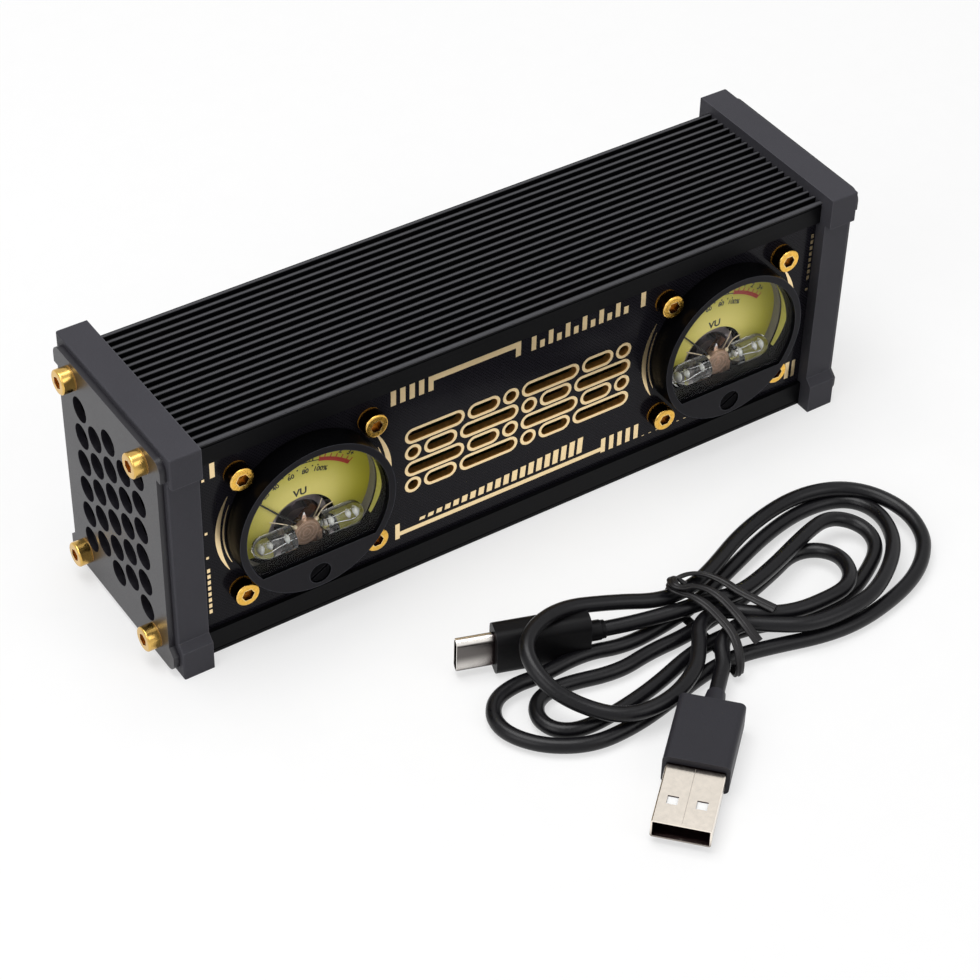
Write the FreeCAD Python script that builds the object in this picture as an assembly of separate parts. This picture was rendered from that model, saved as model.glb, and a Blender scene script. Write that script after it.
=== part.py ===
import FreeCAD, Part
import math
import os

# Stereo analog VU meter in a ribbed aluminium case, with its loose USB lead.
# Millimetres. X runs along the case, Y from the front (-) to the rear (+), Z up.
# The origin is the middle of the case's footprint, on the surface that it stands on.

V = FreeCAD.Vector

# ---- clearances and cutting ----
FIT = 0.1
TURN_CLEAR = 0.05
SCREW_CLEAR = 0.1
THREAD_CLEAR = 0.05
PAST = 1.0
INTO = 0.1
NEAR = 0.01

# ---- round meters ----
BEZEL_R = 18.2
BEZEL_WALL = 1.6
BEZEL_HEIGHT = 5.7
BEZEL_SHOULDER = 1.1
LENS_THICK = 1.0
LENS_SETBACK = 0.5
CUP_STEP = 0.7
CUP_WALL = 0.9
CUP_DEPTH = 12.8
CUP_BACK = 1.5
CUP_LEDGE = 1.0
DIAL_THICK = 0.4
DIAL_SETBACK = 1.8
DIAL_UNDER_COVER = 0.6
DIAL_WINDOW_GAP = 1.0

# ---- where the meters sit on the front panel ----
METER_ABOVE_LIP = 5.3
METER_BELOW_LIP = 2.9
METER_SLOT_GAP = 5.65
METER_FRAME_GAP = 6.5
METER_SCREW_GAP = 0.83
BOARD_MARGIN = 3.1
BOARD_THICK = 1.6
BOARD_CORNER_R = 2.0
STANDOFF_FLAT = 5.0

# ---- meter movement ----
SHAFT_R = 0.35
END_PLAY = 0.1
BEARING_R = 1.5
BEARING_SINK = 0.2
YOKE_R = 7.0
YOKE_WALL = 1.4
YOKE_CUP_GAP = 2.1
CORE_R = 3.4
CORE_SETBACK = 0.2
CORE_WALL_GAP = 2.4
CORE_ARM = 1.5
CORE_ARM_DEPTH = 2.0
COIL_RADIUS = 4.5
COIL_BAR = 1.0
COIL_END = 0.6
COIL_WIDTH = 2.2
COIL_GAP = 0.25
COIL_SPRING_GAP = 0.55
HUB_R = 3.1
HUB_SETBACK = 0.8
HUB_THICK = 0.9
HUB_SKIN = 0.3
HUB_BOSS_R = 0.9
LEG_INNER_X = 2.6
LEG_WIDTH = 1.0
LEG_THICK = 1.2
NEEDLE_TIP_GAP = 2.64
NEEDLE_WIDTH = 0.45
NEEDLE_TIP_WIDTH = 0.24
NEEDLE_TAIL = 2.6
NEEDLE_TAIL_WIDTH = 0.8
NEEDLE_REST_DEG = 42.0
NEEDLE_THICK = 0.25
NEEDLE_HUB_R = 1.0
NEEDLE_HUB_THICK = 0.45
NEEDLE_GAP = 0.2
SPRING_TURNS = 4
SPRING_IN_R = 0.9
SPRING_STEP = 0.45
SPRING_STRIP = 0.12
SPRING_WIDTH = 0.3
SPRING_GAP = 0.3
LAMP_R = 2.5
LAMP_LENGTH = 9.2
LAMP_INNER_X = 3.7
LAMP_RISE = 1.0
LAMP_COVER_GAP = 1.0

# ---- zero adjustment ----
ZERO_FROM_RIM = 3.5
ZERO_HEAD_R = 2.3
ZERO_HEAD_HEIGHT = 0.9
ZERO_HEAD_SINK = 0.4
ZERO_SLOT_WIDTH = 0.7
ZERO_SLOT_DEPTH = 0.5
ZERO_SLOT_DEG = 30.0
ZERO_SHAFT_R = 1.2
ZERO_END_GAP = 0.45
ZERO_ORBIT = 0.6
ZERO_PIN_R = 0.4
LEVER_THICK = 0.3
LEVER_RING_R = 2.2
LEVER_TIP = 4.7
LEVER_TIP_FOOT = 1.4
LEVER_TIP_HALF = 1.1
LEVER_POINT_HALF = 0.1
FORK_HALF = 0.9
FORK_PRONG = 0.7
FORK_BELOW = 0.4
FORK_SLOT_TOP = 2.4

# ---- extrusions ----
RIB_COUNT = 19
RIB_WIDTH = 1.0
GROOVE_WIDTH = 1.2
GROOVE_DEPTH = 1.3
BASE_OUTER = 0.3
BASE_LIP_HEIGHT = 6.0
TOP_LIP_HEIGHT = 5.3
LIP_THICK = 0.9
INNER_LIP = 1.0
PLATE_THICK = 2.6
SLOT_DEPTH = 2.0
LIP_LINE_DROP = 0.9
LIP_LINE_SIZE = 0.25
BOSS_R = 2.4
BOSS_WEB = 2.4
BOSS_INSET = 5.3
TOP_BOSS_DROP = 3.2
BASE_BOSS_RISE = 6.3

# ---- panels ----
PANEL_THICK = 1.6
SLOT_ROWS = 4
SLOT_ROW_PITCH = 4.4
SLOT_OPENING = 2.6
SLOT_RIM = 0.7
SLOT_GAP = 0.7
SLOT_FIELD_DROP = 0.3
LONG_SLOT = 14.6
MEDIUM_SLOT = 8.1
ROUND_SLOT = 4.0

# ---- end frames ----
FRAME_THICK = 7.0
FRAME_PROUD = 3.45
FRAME_ABOVE_TOP = 2.3
COLUMN_INSET = 1.65
FOOT_HEIGHT = 7.1
FOOT_BEVEL = 1.6
BLOCK_HEIGHT = 7.5
FRAME_CORNER_R = 0.35
FRAME_EDGE_R = 0.4
WINDOW_SIDE = 8.55
WINDOW_SILL = 9.0
WINDOW_HEAD = 8.9
WINDOW_R = 3.0

# ---- end plates ----
END_PLATE_THICK = 1.5
END_PLATE_INSET = 1.4
END_PLATE_CORNER_R = 2.5
VENT_R = 2.9
VENT_PITCH = 7.0
VENT_COLUMNS = 5
VENT_LONG_COLUMN = 6

# ---- M3 screws and nuts ----
SCREW_R = 1.5
HEAD_R = 2.75
HEAD_HEIGHT = 3.0
HEAD_EDGE_R = 0.4
SOCKET_FLAT = 2.5
SOCKET_DEPTH = 1.6
FLAT_HEAD_R = 2.8
FLAT_SOCKET_FLAT = 2.0
FLAT_SOCKET_DEPTH = 1.1
END_SCREW_LENGTH = 16.0
METER_SCREW_LENGTH = 5.0
STUD_LENGTH = 2.6
FLAT_SCREW_SIDE = 1
NUT_FLAT = 5.5
NUT_HEIGHT = 2.4

# ---- main board and its parts ----
MAIN_BOARD_END_GAP = 7.0
MAIN_BOARD_REAR_GAP = 0.2
MAIN_BOARD_FRONT = 15.5
CHIP = (5.0, 4.0, 1.6)
CHIP_PLACES = (-30.0, -4.0, 22.0)
RESISTOR = (1.6, 0.8, 0.6)
RESISTOR_GAP = 1.4
CAPACITOR_R = 2.5
CAPACITOR_HEIGHT = 2.6
CAPACITOR_PLACES = (-20.0, 8.0, 28.0)
CAPACITOR_BOARD_GAP = 0.5

# ---- rear fittings ----
INLET_FROM_END = 32.0
INLET_WIDTH = 8.94
INLET_HEIGHT = 3.2
INLET_DEPTH = 7.3
INLET_WALL = 0.35
INLET_MOUTH = 6.0
INLET_TONGUE_WIDTH = 6.7
INLET_TONGUE_THICK = 0.7
INLET_TONGUE_SETBACK = 0.8
JACK_FROM_INLET = 35.0
JACK_R = 1.8
JACK_NOSE_R = 2.9
JACK_BODY = 6.0
JACK_LENGTH = 12.0
JACK_END_WALL = 1.0
JACK_PROUD = 0.5
KNOB_FROM_END = 37.0
KNOB_R = 6.5
KNOB_GAP = 0.4
KNOB_CAP = 1.2
KNOB_FLUTES = 18
FLUTE_R = 0.6
FLUTE_DEPTH = 0.25
POINTER_WIDTH = 0.7
POINTER_DEPTH = 0.4
POINTER_START = 1.5
POT_SHAFT_R = 2.8
POT_BUSH_R = 3.5
POT_BUSH_PROUD = 0.2
POT_BODY = 11.0
POT_DEPTH = 8.0
POT_BORE = 6.0
POT_AXIS_UP = 7.5

# ---- USB lead ----
CORD_D = 3.3
FLOOR_CLEAR = 0.2
C_TIP = (-36.7, -51.7)
C_HEADING = -18.4
C_SHELL = (8.0, 2.56, 8.34)
C_SHELL_WALL = 0.35
C_SHELL_FLOOR = 1.5
C_SHELL_CORNER_R = 1.2
C_GRIP = (20.0, 6.4, 11.0)
C_GRIP_CORNER_R = 2.2
A_TIP = (-25.7, -114.1)
A_HEADING = 43.0
A_SHELL = (15.7, 12.0, 4.5)
A_SHELL_WALL = 0.35
A_SHELL_CORNER_R = 0.5
A_HOLE = 2.2
A_HOLE_START = 5.0
A_HOLE_SPREAD = 2.9
A_TONGUE_SETBACK = 2.4
A_TONGUE_THICK = 1.9
A_GRIP = (18.0, 13.6, 7.6)
A_GRIP_CORNER_R = 1.3
A_RELIEF_LENGTH = 5.0
A_RELIEF_R = 2.6
A_RELIEF_WALL = 0.3
GRIP_CLEAR = 0.3
TAIL_REACH = 14.0
HANK_BOTTOM = 0.9
HANK_TOP = 9.4
TIE_WIDTH = 1.6
TIE_THICK = 0.7
TIE_X = 14.6
HANK_OUTLINE = [
    (14.6, -58.4), (0.0, -53.0), (-13.0, -48.8), (-22.0, -51.0), (-31.0, -62.0),
    (-41.0, -67.0), (-41.0, -78.0), (-27.0, -86.0), (-10.0, -86.0), (4.0, -81.4),
    (14.6, -84.0), (38.0, -89.8), (58.0, -85.6), (70.0, -74.0), (68.5, -57.0),
    (54.0, -47.0), (36.0, -49.6), (24.0, -56.6),
]

# ---- values that follow: meter sizes and hole radii ----
BEZEL_INNER_R = BEZEL_R - BEZEL_WALL
CUP_R = BEZEL_R - CUP_STEP
CUP_INNER_R = CUP_R - CUP_WALL
PIVOT_BELOW = CUP_INNER_R - YOKE_R - YOKE_CUP_GAP
DIAL_WINDOW_R = YOKE_R + DIAL_WINDOW_GAP
REST_ANGLE = math.radians(NEEDLE_REST_DEG)
NEEDLE_LENGTH = PIVOT_BELOW * math.cos(REST_ANGLE) + math.sqrt(
    (CUP_INNER_R - NEEDLE_TIP_GAP) ** 2 - (PIVOT_BELOW * math.sin(REST_ANGLE)) ** 2)
SHAFT_HOLE_R = SHAFT_R + TURN_CLEAR
CLEAR_HOLE_R = SCREW_R + SCREW_CLEAR
TAPPED_HOLE_R = SCREW_R + THREAD_CLEAR

# ---- values that follow: height ----
METER_Z = BASE_OUTER + BASE_LIP_HEIGHT + METER_ABOVE_LIP + BEZEL_R
TOP_OUTER = METER_Z + BEZEL_R + METER_BELOW_LIP + TOP_LIP_HEIGHT
CASE_HEIGHT = TOP_OUTER + FRAME_ABOVE_TOP
BASE_SCREW_Z = BASE_OUTER + BASE_BOSS_RISE
TOP_SCREW_Z = TOP_OUTER - TOP_BOSS_DROP
PANEL_LOW = BASE_OUTER + BASE_LIP_HEIGHT - SLOT_DEPTH + FIT
PANEL_HIGH = TOP_OUTER - TOP_LIP_HEIGHT + SLOT_DEPTH - FIT
WINDOW_HIGH = CASE_HEIGHT - WINDOW_HEAD
PIVOT_Z = METER_Z - PIVOT_BELOW
LAMP_Z = PIVOT_Z + LAMP_RISE
COVER_TOP = LAMP_Z - LAMP_R - LAMP_COVER_GAP
DIAL_LOW = COVER_TOP - DIAL_UNDER_COVER
ZERO_Z = METER_Z - BEZEL_R + ZERO_FROM_RIM
BOARD_TOP = BASE_SCREW_Z + BOSS_R + BOARD_THICK
INLET_Z = BOARD_TOP + INLET_HEIGHT / 2
JACK_Z = BOARD_TOP + JACK_BODY / 2
POT_Z = BOARD_TOP + POT_AXIS_UP

# ---- values that follow: length ----
SLOT_LENGTHS = [LONG_SLOT, MEDIUM_SLOT, ROUND_SLOT] * 2
SLOT_ROW_LENGTH = sum(SLOT_LENGTHS) + SLOT_GAP * (len(SLOT_LENGTHS) - 1)
METER_X = SLOT_ROW_LENGTH / 2 + METER_SLOT_GAP + BEZEL_R
METER_SCREW_REACH = (BEZEL_R + METER_SCREW_GAP + HEAD_R) / math.sqrt(2)
INNER_X = METER_X + BEZEL_R + METER_FRAME_GAP
HALF_LENGTH = INNER_X + FRAME_THICK
INLET_X = INLET_FROM_END - INNER_X
JACK_X = INLET_X + JACK_FROM_INLET
KNOB_X = INNER_X - KNOB_FROM_END

# ---- values that follow: depth ----
EXTRUSION_HALF = (RIB_COUNT * RIB_WIDTH + (RIB_COUNT - 1) * GROOVE_WIDTH) / 2
HALF_DEPTH = EXTRUSION_HALF + FRAME_PROUD
SCREW_Y = EXTRUSION_HALF - BOSS_INSET
PANEL_FACE = EXTRUSION_HALF - LIP_THICK - FIT
PANEL_BACK = PANEL_FACE - PANEL_THICK
FRONT = -PANEL_FACE
BEZEL_FACE = FRONT - BEZEL_HEIGHT
KNOB_FACE = -BEZEL_FACE
COVER_BACK = FRONT - BEZEL_SHOULDER
DIAL_FACE = FRONT + DIAL_SETBACK
CUP_END = FRONT + CUP_DEPTH
BACK_WALL = CUP_END - CUP_BACK
HUB_FRONT = COVER_BACK + HUB_SETBACK
HUB_BACK = HUB_FRONT + HUB_THICK
LEVER_FRONT = HUB_BACK + TURN_CLEAR
BOSS_END = LEVER_FRONT + LEVER_THICK + FIT
NEEDLE_FRONT = BOSS_END + NEEDLE_GAP
SPRING_FRONT = NEEDLE_FRONT + NEEDLE_HUB_THICK + SPRING_GAP
COIL_FRONT = SPRING_FRONT + SPRING_WIDTH + COIL_SPRING_GAP
CORE_FRONT = COIL_FRONT + COIL_END + COIL_GAP
CORE_BACK = BACK_WALL - CORE_WALL_GAP
COIL_BACK = CORE_BACK + COIL_GAP + COIL_END
YOKE_FRONT = CORE_FRONT - CORE_SETBACK
BOARD_FRONT = CUP_END + FIT
CAPACITOR_Y = BOARD_FRONT - CAPACITOR_R - CAPACITOR_BOARD_GAP


def box(x0, x1, y0, y1, z0, z1):
    """A block between two corners."""
    return Part.makeBox(x1 - x0, y1 - y0, z1 - z0, V(x0, y0, z0))


def rod_x(x0, x1, y, z, r):
    """A round bar along X."""
    return Part.makeCylinder(r, x1 - x0, V(x0, y, z), V(1, 0, 0))


def rod_y(y0, y1, x, z, r):
    """A round bar along Y."""
    return Part.makeCylinder(r, y1 - y0, V(x, y0, z), V(0, 1, 0))


def hexagon_bar(base, direction, across_flats, length):
    """A hexagonal bar that starts at base."""
    corner_r = across_flats / math.sqrt(3)
    spin = FreeCAD.Rotation(V(0, 0, 1), V(*direction))
    corners = []
    for i in range(6):
        a = math.radians(60 * i)
        corners.append(V(*base) + spin.multVec(V(corner_r * math.cos(a), corner_r * math.sin(a), 0)))
    face = Part.Face(Part.makePolygon(corners + corners[:1]))
    return face.extrude(spin.multVec(V(0, 0, length)))


def prism_x(points, x0, x1):
    """A prism along X over a closed outline in Y and Z."""
    ring = [V(x0, y, z) for y, z in points]
    return Part.Face(Part.makePolygon(ring + ring[:1])).extrude(V(x1 - x0, 0, 0))


def round_edges(shape, radius, wanted):
    """Rounds the straight edges whose two ends pass the test."""
    picked = []
    for edge in shape.Edges:
        ends = [vertex.Point for vertex in edge.Vertexes]
        if len(ends) == 2 and wanted(ends[0], ends[1]):
            picked.append(edge)
    return shape.makeFillet(radius, picked)


def socket_screw(base, direction, length):
    """An M3 screw whose head stands out from base, against the direction of its shank."""
    way = V(*direction)
    start = V(*base)
    head = Part.makeCylinder(HEAD_R, HEAD_HEIGHT, start, -way)
    top = start - way * HEAD_HEIGHT
    rim = [edge for edge in head.Edges if edge.isClosed() and edge.CenterOfMass.isEqual(top, NEAR)]
    head = head.makeFillet(HEAD_EDGE_R, rim)
    socket = hexagon_bar(tuple(top), direction, SOCKET_FLAT, SOCKET_DEPTH)
    shank = Part.makeCylinder(SCREW_R, length, start, way)
    return head.fuse(shank).cut(socket).removeSplitter()


def countersink(base, direction, clear):
    """The cone under a flat screw head, wider all round by clear."""
    return Part.makeCone(FLAT_HEAD_R + clear, SCREW_R + clear, FLAT_HEAD_R - SCREW_R,
                         V(*base), V(*direction))


def flat_screw(base, direction, length):
    """An M3 countersunk screw whose head is flush with base."""
    head = countersink(base, direction, 0)
    shank = Part.makeCylinder(SCREW_R, length, V(*base), V(*direction))
    socket = hexagon_bar(base, direction, FLAT_SOCKET_FLAT, FLAT_SOCKET_DEPTH)
    return head.fuse(shank).cut(socket).removeSplitter()


# ---- case ----

def extrusion(outer, lip, boss_z, up):
    """One ribbed extrusion with lips of a given height; up is 1 for the top one and -1 for the base."""
    def level(depth):
        return outer - up * depth

    def slab(y0, y1, depth0, depth1):
        low, high = sorted((level(depth0), level(depth1)))
        return box(-INNER_X, INNER_X, y0, y1, low, high)

    half = EXTRUSION_HALF
    body = slab(-half, half, 0, PLATE_THICK)
    for side in (-1, 1):
        inner = PANEL_BACK - FIT - INNER_LIP
        y0, y1 = sorted((side * half, side * inner))
        body = body.fuse(slab(y0, y1, 0, lip))
        boss = rod_x(-INNER_X, INNER_X, side * SCREW_Y, boss_z, BOSS_R)
        low, high = sorted((level(PLATE_THICK - INTO), boss_z))
        web_y = side * SCREW_Y - BOSS_WEB / 2
        web = box(-INNER_X, INNER_X, web_y, web_y + BOSS_WEB, low, high)
        body = body.fuse([boss, web])
    for side in (-1, 1):
        y0, y1 = sorted((side * (PANEL_FACE + FIT), side * (PANEL_BACK - FIT)))
        body = body.cut(slab(y0, y1, lip - SLOT_DEPTH, lip + PAST))
        body = body.cut(rod_x(-INNER_X - PAST, INNER_X + PAST, side * SCREW_Y, boss_z, TAPPED_HOLE_R))
        line_y = side * half
        line_z = level(LIP_LINE_DROP) - LIP_LINE_SIZE / 2
        body = body.cut(box(-INNER_X - PAST, INNER_X + PAST, line_y - LIP_LINE_SIZE,
                            line_y + LIP_LINE_SIZE, line_z, line_z + LIP_LINE_SIZE))
    for i in range(RIB_COUNT - 1):
        y = -half + RIB_WIDTH + i * (RIB_WIDTH + GROOVE_WIDTH)
        body = body.cut(slab(y, y + GROOVE_WIDTH, -PAST, GROOVE_DEPTH))
    return body.removeSplitter()


def frame_outline(inset):
    """Half-symmetric outline of an end frame, moved inwards by inset, as (y, z) points."""
    out = HALF_DEPTH - inset
    column = HALF_DEPTH - COLUMN_INSET - inset
    block_low = CASE_HEIGHT - BLOCK_HEIGHT + inset
    foot_high = FOOT_HEIGHT - inset
    front = [
        (-out, inset), (-out, foot_high), (-column, foot_high + FOOT_BEVEL),
        (-column, block_low), (-out, block_low), (-out, CASE_HEIGHT - inset),
    ]
    return front + [(-y, z) for y, z in reversed(front)]


def end_screw_places():
    return [(side * SCREW_Y, z) for side in (-1, 1) for z in (BASE_SCREW_Z, TOP_SCREW_Z)]


def is_flush(side, z):
    """Whether an end screw has a flat head: only the upper pair of one end does."""
    return side == FLAT_SCREW_SIDE and z == TOP_SCREW_Z


def end_frame(side):
    """A moulded end frame: a foot, two columns and a head block round a window."""
    x0, x1 = sorted((side * INNER_X, side * HALF_LENGTH))
    body = prism_x(frame_outline(0), x0, x1)
    top = CASE_HEIGHT - NEAR
    body = round_edges(body, FRAME_CORNER_R,
                       lambda a, b: min(a.z, b.z) > top and abs(a.y - b.y) < NEAR)
    outer_x = side * HALF_LENGTH
    body = round_edges(body, FRAME_EDGE_R,
                       lambda a, b: abs(a.x - outer_x) < NEAR and abs(b.x - outer_x) < NEAR)
    half = HALF_DEPTH - WINDOW_SIDE
    window = box(x0 - PAST, x1 + PAST, -half, half, WINDOW_SILL, WINDOW_HIGH)
    window = round_edges(window, WINDOW_R, lambda a, b: abs(a.x - b.x) > FRAME_THICK)
    body = body.cut(window)
    for y, z in end_screw_places():
        body = body.cut(rod_x(x0 - PAST, x1 + PAST, y, z, CLEAR_HOLE_R))
    return body


def vent_places():
    """Centres of the round vents: a hexagonal grid of long and short columns."""
    places = []
    column_step = VENT_PITCH * math.sqrt(3) / 2
    centre_z = (WINDOW_SILL + WINDOW_HIGH) / 2
    for column in range(VENT_COLUMNS):
        count = VENT_LONG_COLUMN - column % 2
        y = (column - (VENT_COLUMNS - 1) / 2) * column_step
        for k in range(count):
            places.append((y, centre_z + (k - (count - 1) / 2) * VENT_PITCH))
    return places


def end_plate(side):
    """A vented plate, cut like a circuit board, that covers the end frame."""
    x0, x1 = sorted((side * HALF_LENGTH, side * (HALF_LENGTH + END_PLATE_THICK)))
    body = prism_x(frame_outline(END_PLATE_INSET), x0, x1)
    out = HALF_DEPTH - END_PLATE_INSET - NEAR
    low, high = END_PLATE_INSET + NEAR, CASE_HEIGHT - END_PLATE_INSET - NEAR
    body = round_edges(body, END_PLATE_CORNER_R,
                       lambda a, b: abs(a.x - b.x) > NEAR and abs(a.y) > out
                       and (a.z < low or a.z > high))
    for y, z in vent_places():
        body = body.cut(rod_x(x0 - PAST, x1 + PAST, y, z, VENT_R))
    for y, z in end_screw_places():
        body = body.cut(rod_x(x0 - PAST, x1 + PAST, y, z, CLEAR_HOLE_R))
        if is_flush(side, z):
            body = body.cut(countersink((x1, y, z), (-side, 0, 0), SCREW_CLEAR))
    return body


def end_screws(side):
    """The four screws of one end: cap heads, but for a flush pair."""
    x = side * (HALF_LENGTH + END_PLATE_THICK)
    screws = []
    for y, z in end_screw_places():
        make = flat_screw if is_flush(side, z) else socket_screw
        screws.append(make((x, y, z), (-side, 0, 0), END_SCREW_LENGTH))
    return Part.makeCompound(screws)


def slot_row(row):
    """Centres and lengths of the slots of one row; every second row runs the other way round."""
    lengths = SLOT_LENGTHS[::-1] if row % 2 else SLOT_LENGTHS
    x = -SLOT_ROW_LENGTH / 2
    z = METER_Z - SLOT_FIELD_DROP + ((SLOT_ROWS - 1) / 2 - row) * SLOT_ROW_PITCH
    places = []
    for length in lengths:
        places.append((x + length / 2, z, length))
        x += length + SLOT_GAP
    return places


def round_slot(x, z, length, y0, y1):
    """A round-ended slot cutter through the panel; length is over its rim."""
    r = SLOT_OPENING / 2
    reach = length / 2 - SLOT_RIM - r
    if reach < NEAR:
        return rod_y(y0, y1, x, z, r)
    cutter = box(x - reach, x + reach, y0, y1, z - r, z + r)
    return cutter.fuse([rod_y(y0, y1, x - reach, z, r), rod_y(y0, y1, x + reach, z, r)])


def meter_screw_places(centre_x):
    reach = METER_SCREW_REACH
    return [(centre_x + i * reach, METER_Z + k * reach) for i in (-1, 1) for k in (-1, 1)]


def blank_panel(y0, y1):
    half = INNER_X - FIT
    return box(-half, half, y0, y1, PANEL_LOW, PANEL_HIGH)


def front_panel():
    y0, y1 = FRONT - PAST, -PANEL_BACK + PAST
    body = blank_panel(FRONT, -PANEL_BACK)
    for centre_x in (-METER_X, METER_X):
        body = body.cut(rod_y(y0, y1, centre_x, METER_Z, CUP_R + FIT))
        for x, z in meter_screw_places(centre_x):
            body = body.cut(rod_y(y0, y1, x, z, CLEAR_HOLE_R))
    for row in range(SLOT_ROWS):
        for x, z, length in slot_row(row):
            body = body.cut(round_slot(x, z, length, y0, y1))
    return body


def rear_panel():
    y0, y1 = PANEL_BACK - PAST, PANEL_FACE + PAST
    body = blank_panel(PANEL_BACK, PANEL_FACE)
    body = body.cut([inlet_block(y0, y1, FIT), rod_y(y0, y1, JACK_X, JACK_Z, JACK_NOSE_R + FIT)])
    return body.cut(rod_y(y0, y1, KNOB_X, POT_Z, POT_BUSH_R + FIT))


# ---- electronics ----

def inlet_block(y0, y1, grow):
    """Rounded block of the USB-C receptacle, larger all round by grow."""
    r = INLET_HEIGHT / 2
    reach = INLET_WIDTH / 2 - r
    r += grow
    body = box(INLET_X - reach, INLET_X + reach, y0, y1, INLET_Z - r, INLET_Z + r)
    for end in (-reach, reach):
        body = body.fuse(rod_y(y0, y1, INLET_X + end, INLET_Z, r))
    return body


def main_board():
    half = INNER_X - MAIN_BOARD_END_GAP
    rear = PANEL_BACK - MAIN_BOARD_REAR_GAP
    return box(-half, half, -MAIN_BOARD_FRONT, rear, BOARD_TOP - BOARD_THICK, BOARD_TOP)


def board_parts():
    """Driver chips, resistors and filter capacitors, soldered on the main board."""
    length, width, height = CHIP
    small_length, small_width, small_height = RESISTOR
    parts = []
    for x in CHIP_PLACES:
        parts.append(box(x, x + length, -width / 2, width / 2, BOARD_TOP, BOARD_TOP + height))
        end = x - RESISTOR_GAP
        parts.append(box(end - small_length, end, -small_width / 2, small_width / 2,
                         BOARD_TOP, BOARD_TOP + small_height))
    for x in CAPACITOR_PLACES:
        parts.append(Part.makeCylinder(CAPACITOR_R, CAPACITOR_HEIGHT, V(x, CAPACITOR_Y, BOARD_TOP)))
    return Part.makeCompound(parts)


def usb_c_inlet():
    """The receptacle: a rounded metal mouth with the contact tongue in it."""
    body = inlet_block(PANEL_FACE - INLET_DEPTH, PANEL_FACE, 0)
    floor = PANEL_FACE - INLET_MOUTH
    mouth = inlet_block(floor, PANEL_FACE + PAST, -INLET_WALL)
    half = INLET_TONGUE_WIDTH / 2
    tongue = box(INLET_X - half, INLET_X + half, floor - INTO, PANEL_FACE - INLET_TONGUE_SETBACK,
                 INLET_Z - INLET_TONGUE_THICK / 2, INLET_Z + INLET_TONGUE_THICK / 2)
    return body.cut(mouth).fuse(tongue).removeSplitter()


def line_in_jack():
    """A 3.5 mm line-in jack whose nose goes through the rear panel."""
    half = JACK_BODY / 2
    front = PANEL_BACK - JACK_LENGTH
    nose = PANEL_FACE + JACK_PROUD
    body = box(JACK_X - half, JACK_X + half, front, PANEL_BACK, JACK_Z - half, JACK_Z + half)
    body = body.fuse(rod_y(PANEL_BACK, nose, JACK_X, JACK_Z, JACK_NOSE_R))
    return body.cut(rod_y(front + JACK_END_WALL, nose + PAST, JACK_X, JACK_Z, JACK_R))


def gain_pot():
    """The level potentiometer: a body on the board and a round bush through the rear panel."""
    half = POT_BODY / 2
    front = PANEL_BACK - POT_DEPTH
    bush = PANEL_FACE + POT_BUSH_PROUD
    body = box(KNOB_X - half, KNOB_X + half, front, PANEL_BACK, BOARD_TOP, POT_Z + half)
    body = body.fuse(rod_y(PANEL_BACK, bush, KNOB_X, POT_Z, POT_BUSH_R))
    hole = rod_y(PANEL_BACK - POT_BORE, bush + PAST, KNOB_X, POT_Z, POT_SHAFT_R + TURN_CLEAR)
    return body.cut(hole)


def gain_shaft():
    return rod_y(PANEL_BACK - POT_BORE + END_PLAY, KNOB_FACE - KNOB_CAP, KNOB_X, POT_Z, POT_SHAFT_R)


def gain_knob():
    """A round grip knob with shallow flutes and a pointer line."""
    y0, y1 = PANEL_FACE + KNOB_GAP, KNOB_FACE
    body = rod_y(y0, y1, KNOB_X, POT_Z, KNOB_R)
    out = KNOB_R + FLUTE_R - FLUTE_DEPTH
    for i in range(KNOB_FLUTES):
        a = 2 * math.pi * (i + 0.5) / KNOB_FLUTES
        x, z = KNOB_X + out * math.cos(a), POT_Z + out * math.sin(a)
        body = body.cut(rod_y(y0 - PAST, y1 + PAST, x, z, FLUTE_R))
    half = POINTER_WIDTH / 2
    line = box(KNOB_X - half, KNOB_X + half, y1 - POINTER_DEPTH, y1 + PAST,
               POT_Z + POINTER_START, POT_Z + KNOB_R + PAST)
    return body.cut([line, rod_y(y0 - PAST, y1 - KNOB_CAP, KNOB_X, POT_Z, POT_SHAFT_R)])


# ---- meters ----

def below(shape, x, z):
    """The part of a meter's round shape that lies under height z."""
    return shape.common(box(x - BEZEL_R, x + BEZEL_R, BEZEL_FACE, CUP_END, z - 2 * BEZEL_R, z))


def above(shape, x, z):
    return shape.common(box(x - BEZEL_R, x + BEZEL_R, BEZEL_FACE, CUP_END, z, z + 2 * BEZEL_R))


def meter_bezel(x):
    """The front ring, whose lower part is closed by a cover that holds the zero screw."""
    ring = rod_y(BEZEL_FACE, FRONT, x, METER_Z, BEZEL_R)
    ring = ring.cut(rod_y(BEZEL_FACE - PAST, COVER_BACK, x, METER_Z, BEZEL_INNER_R))
    ring = ring.cut(rod_y(BEZEL_FACE - PAST, FRONT + PAST, x, METER_Z, CUP_INNER_R))
    cover = below(rod_y(BEZEL_FACE, COVER_BACK, x, METER_Z, BEZEL_INNER_R + INTO), x, COVER_TOP)
    body = ring.fuse(cover)
    seat = BEZEL_FACE + ZERO_HEAD_SINK + ZERO_HEAD_HEIGHT + TURN_CLEAR
    body = body.cut(rod_y(BEZEL_FACE - PAST, seat, x, ZERO_Z, ZERO_HEAD_R + 2 * FIT))
    body = body.cut(rod_y(BEZEL_FACE - PAST, FRONT, x, ZERO_Z, ZERO_SHAFT_R + TURN_CLEAR))
    return body.removeSplitter()


def meter_lens(x):
    """The flat clear window over the dial."""
    y0 = BEZEL_FACE + LENS_SETBACK
    return above(rod_y(y0, y0 + LENS_THICK, x, METER_Z, BEZEL_INNER_R - FIT), x, COVER_TOP + FIT)


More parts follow.
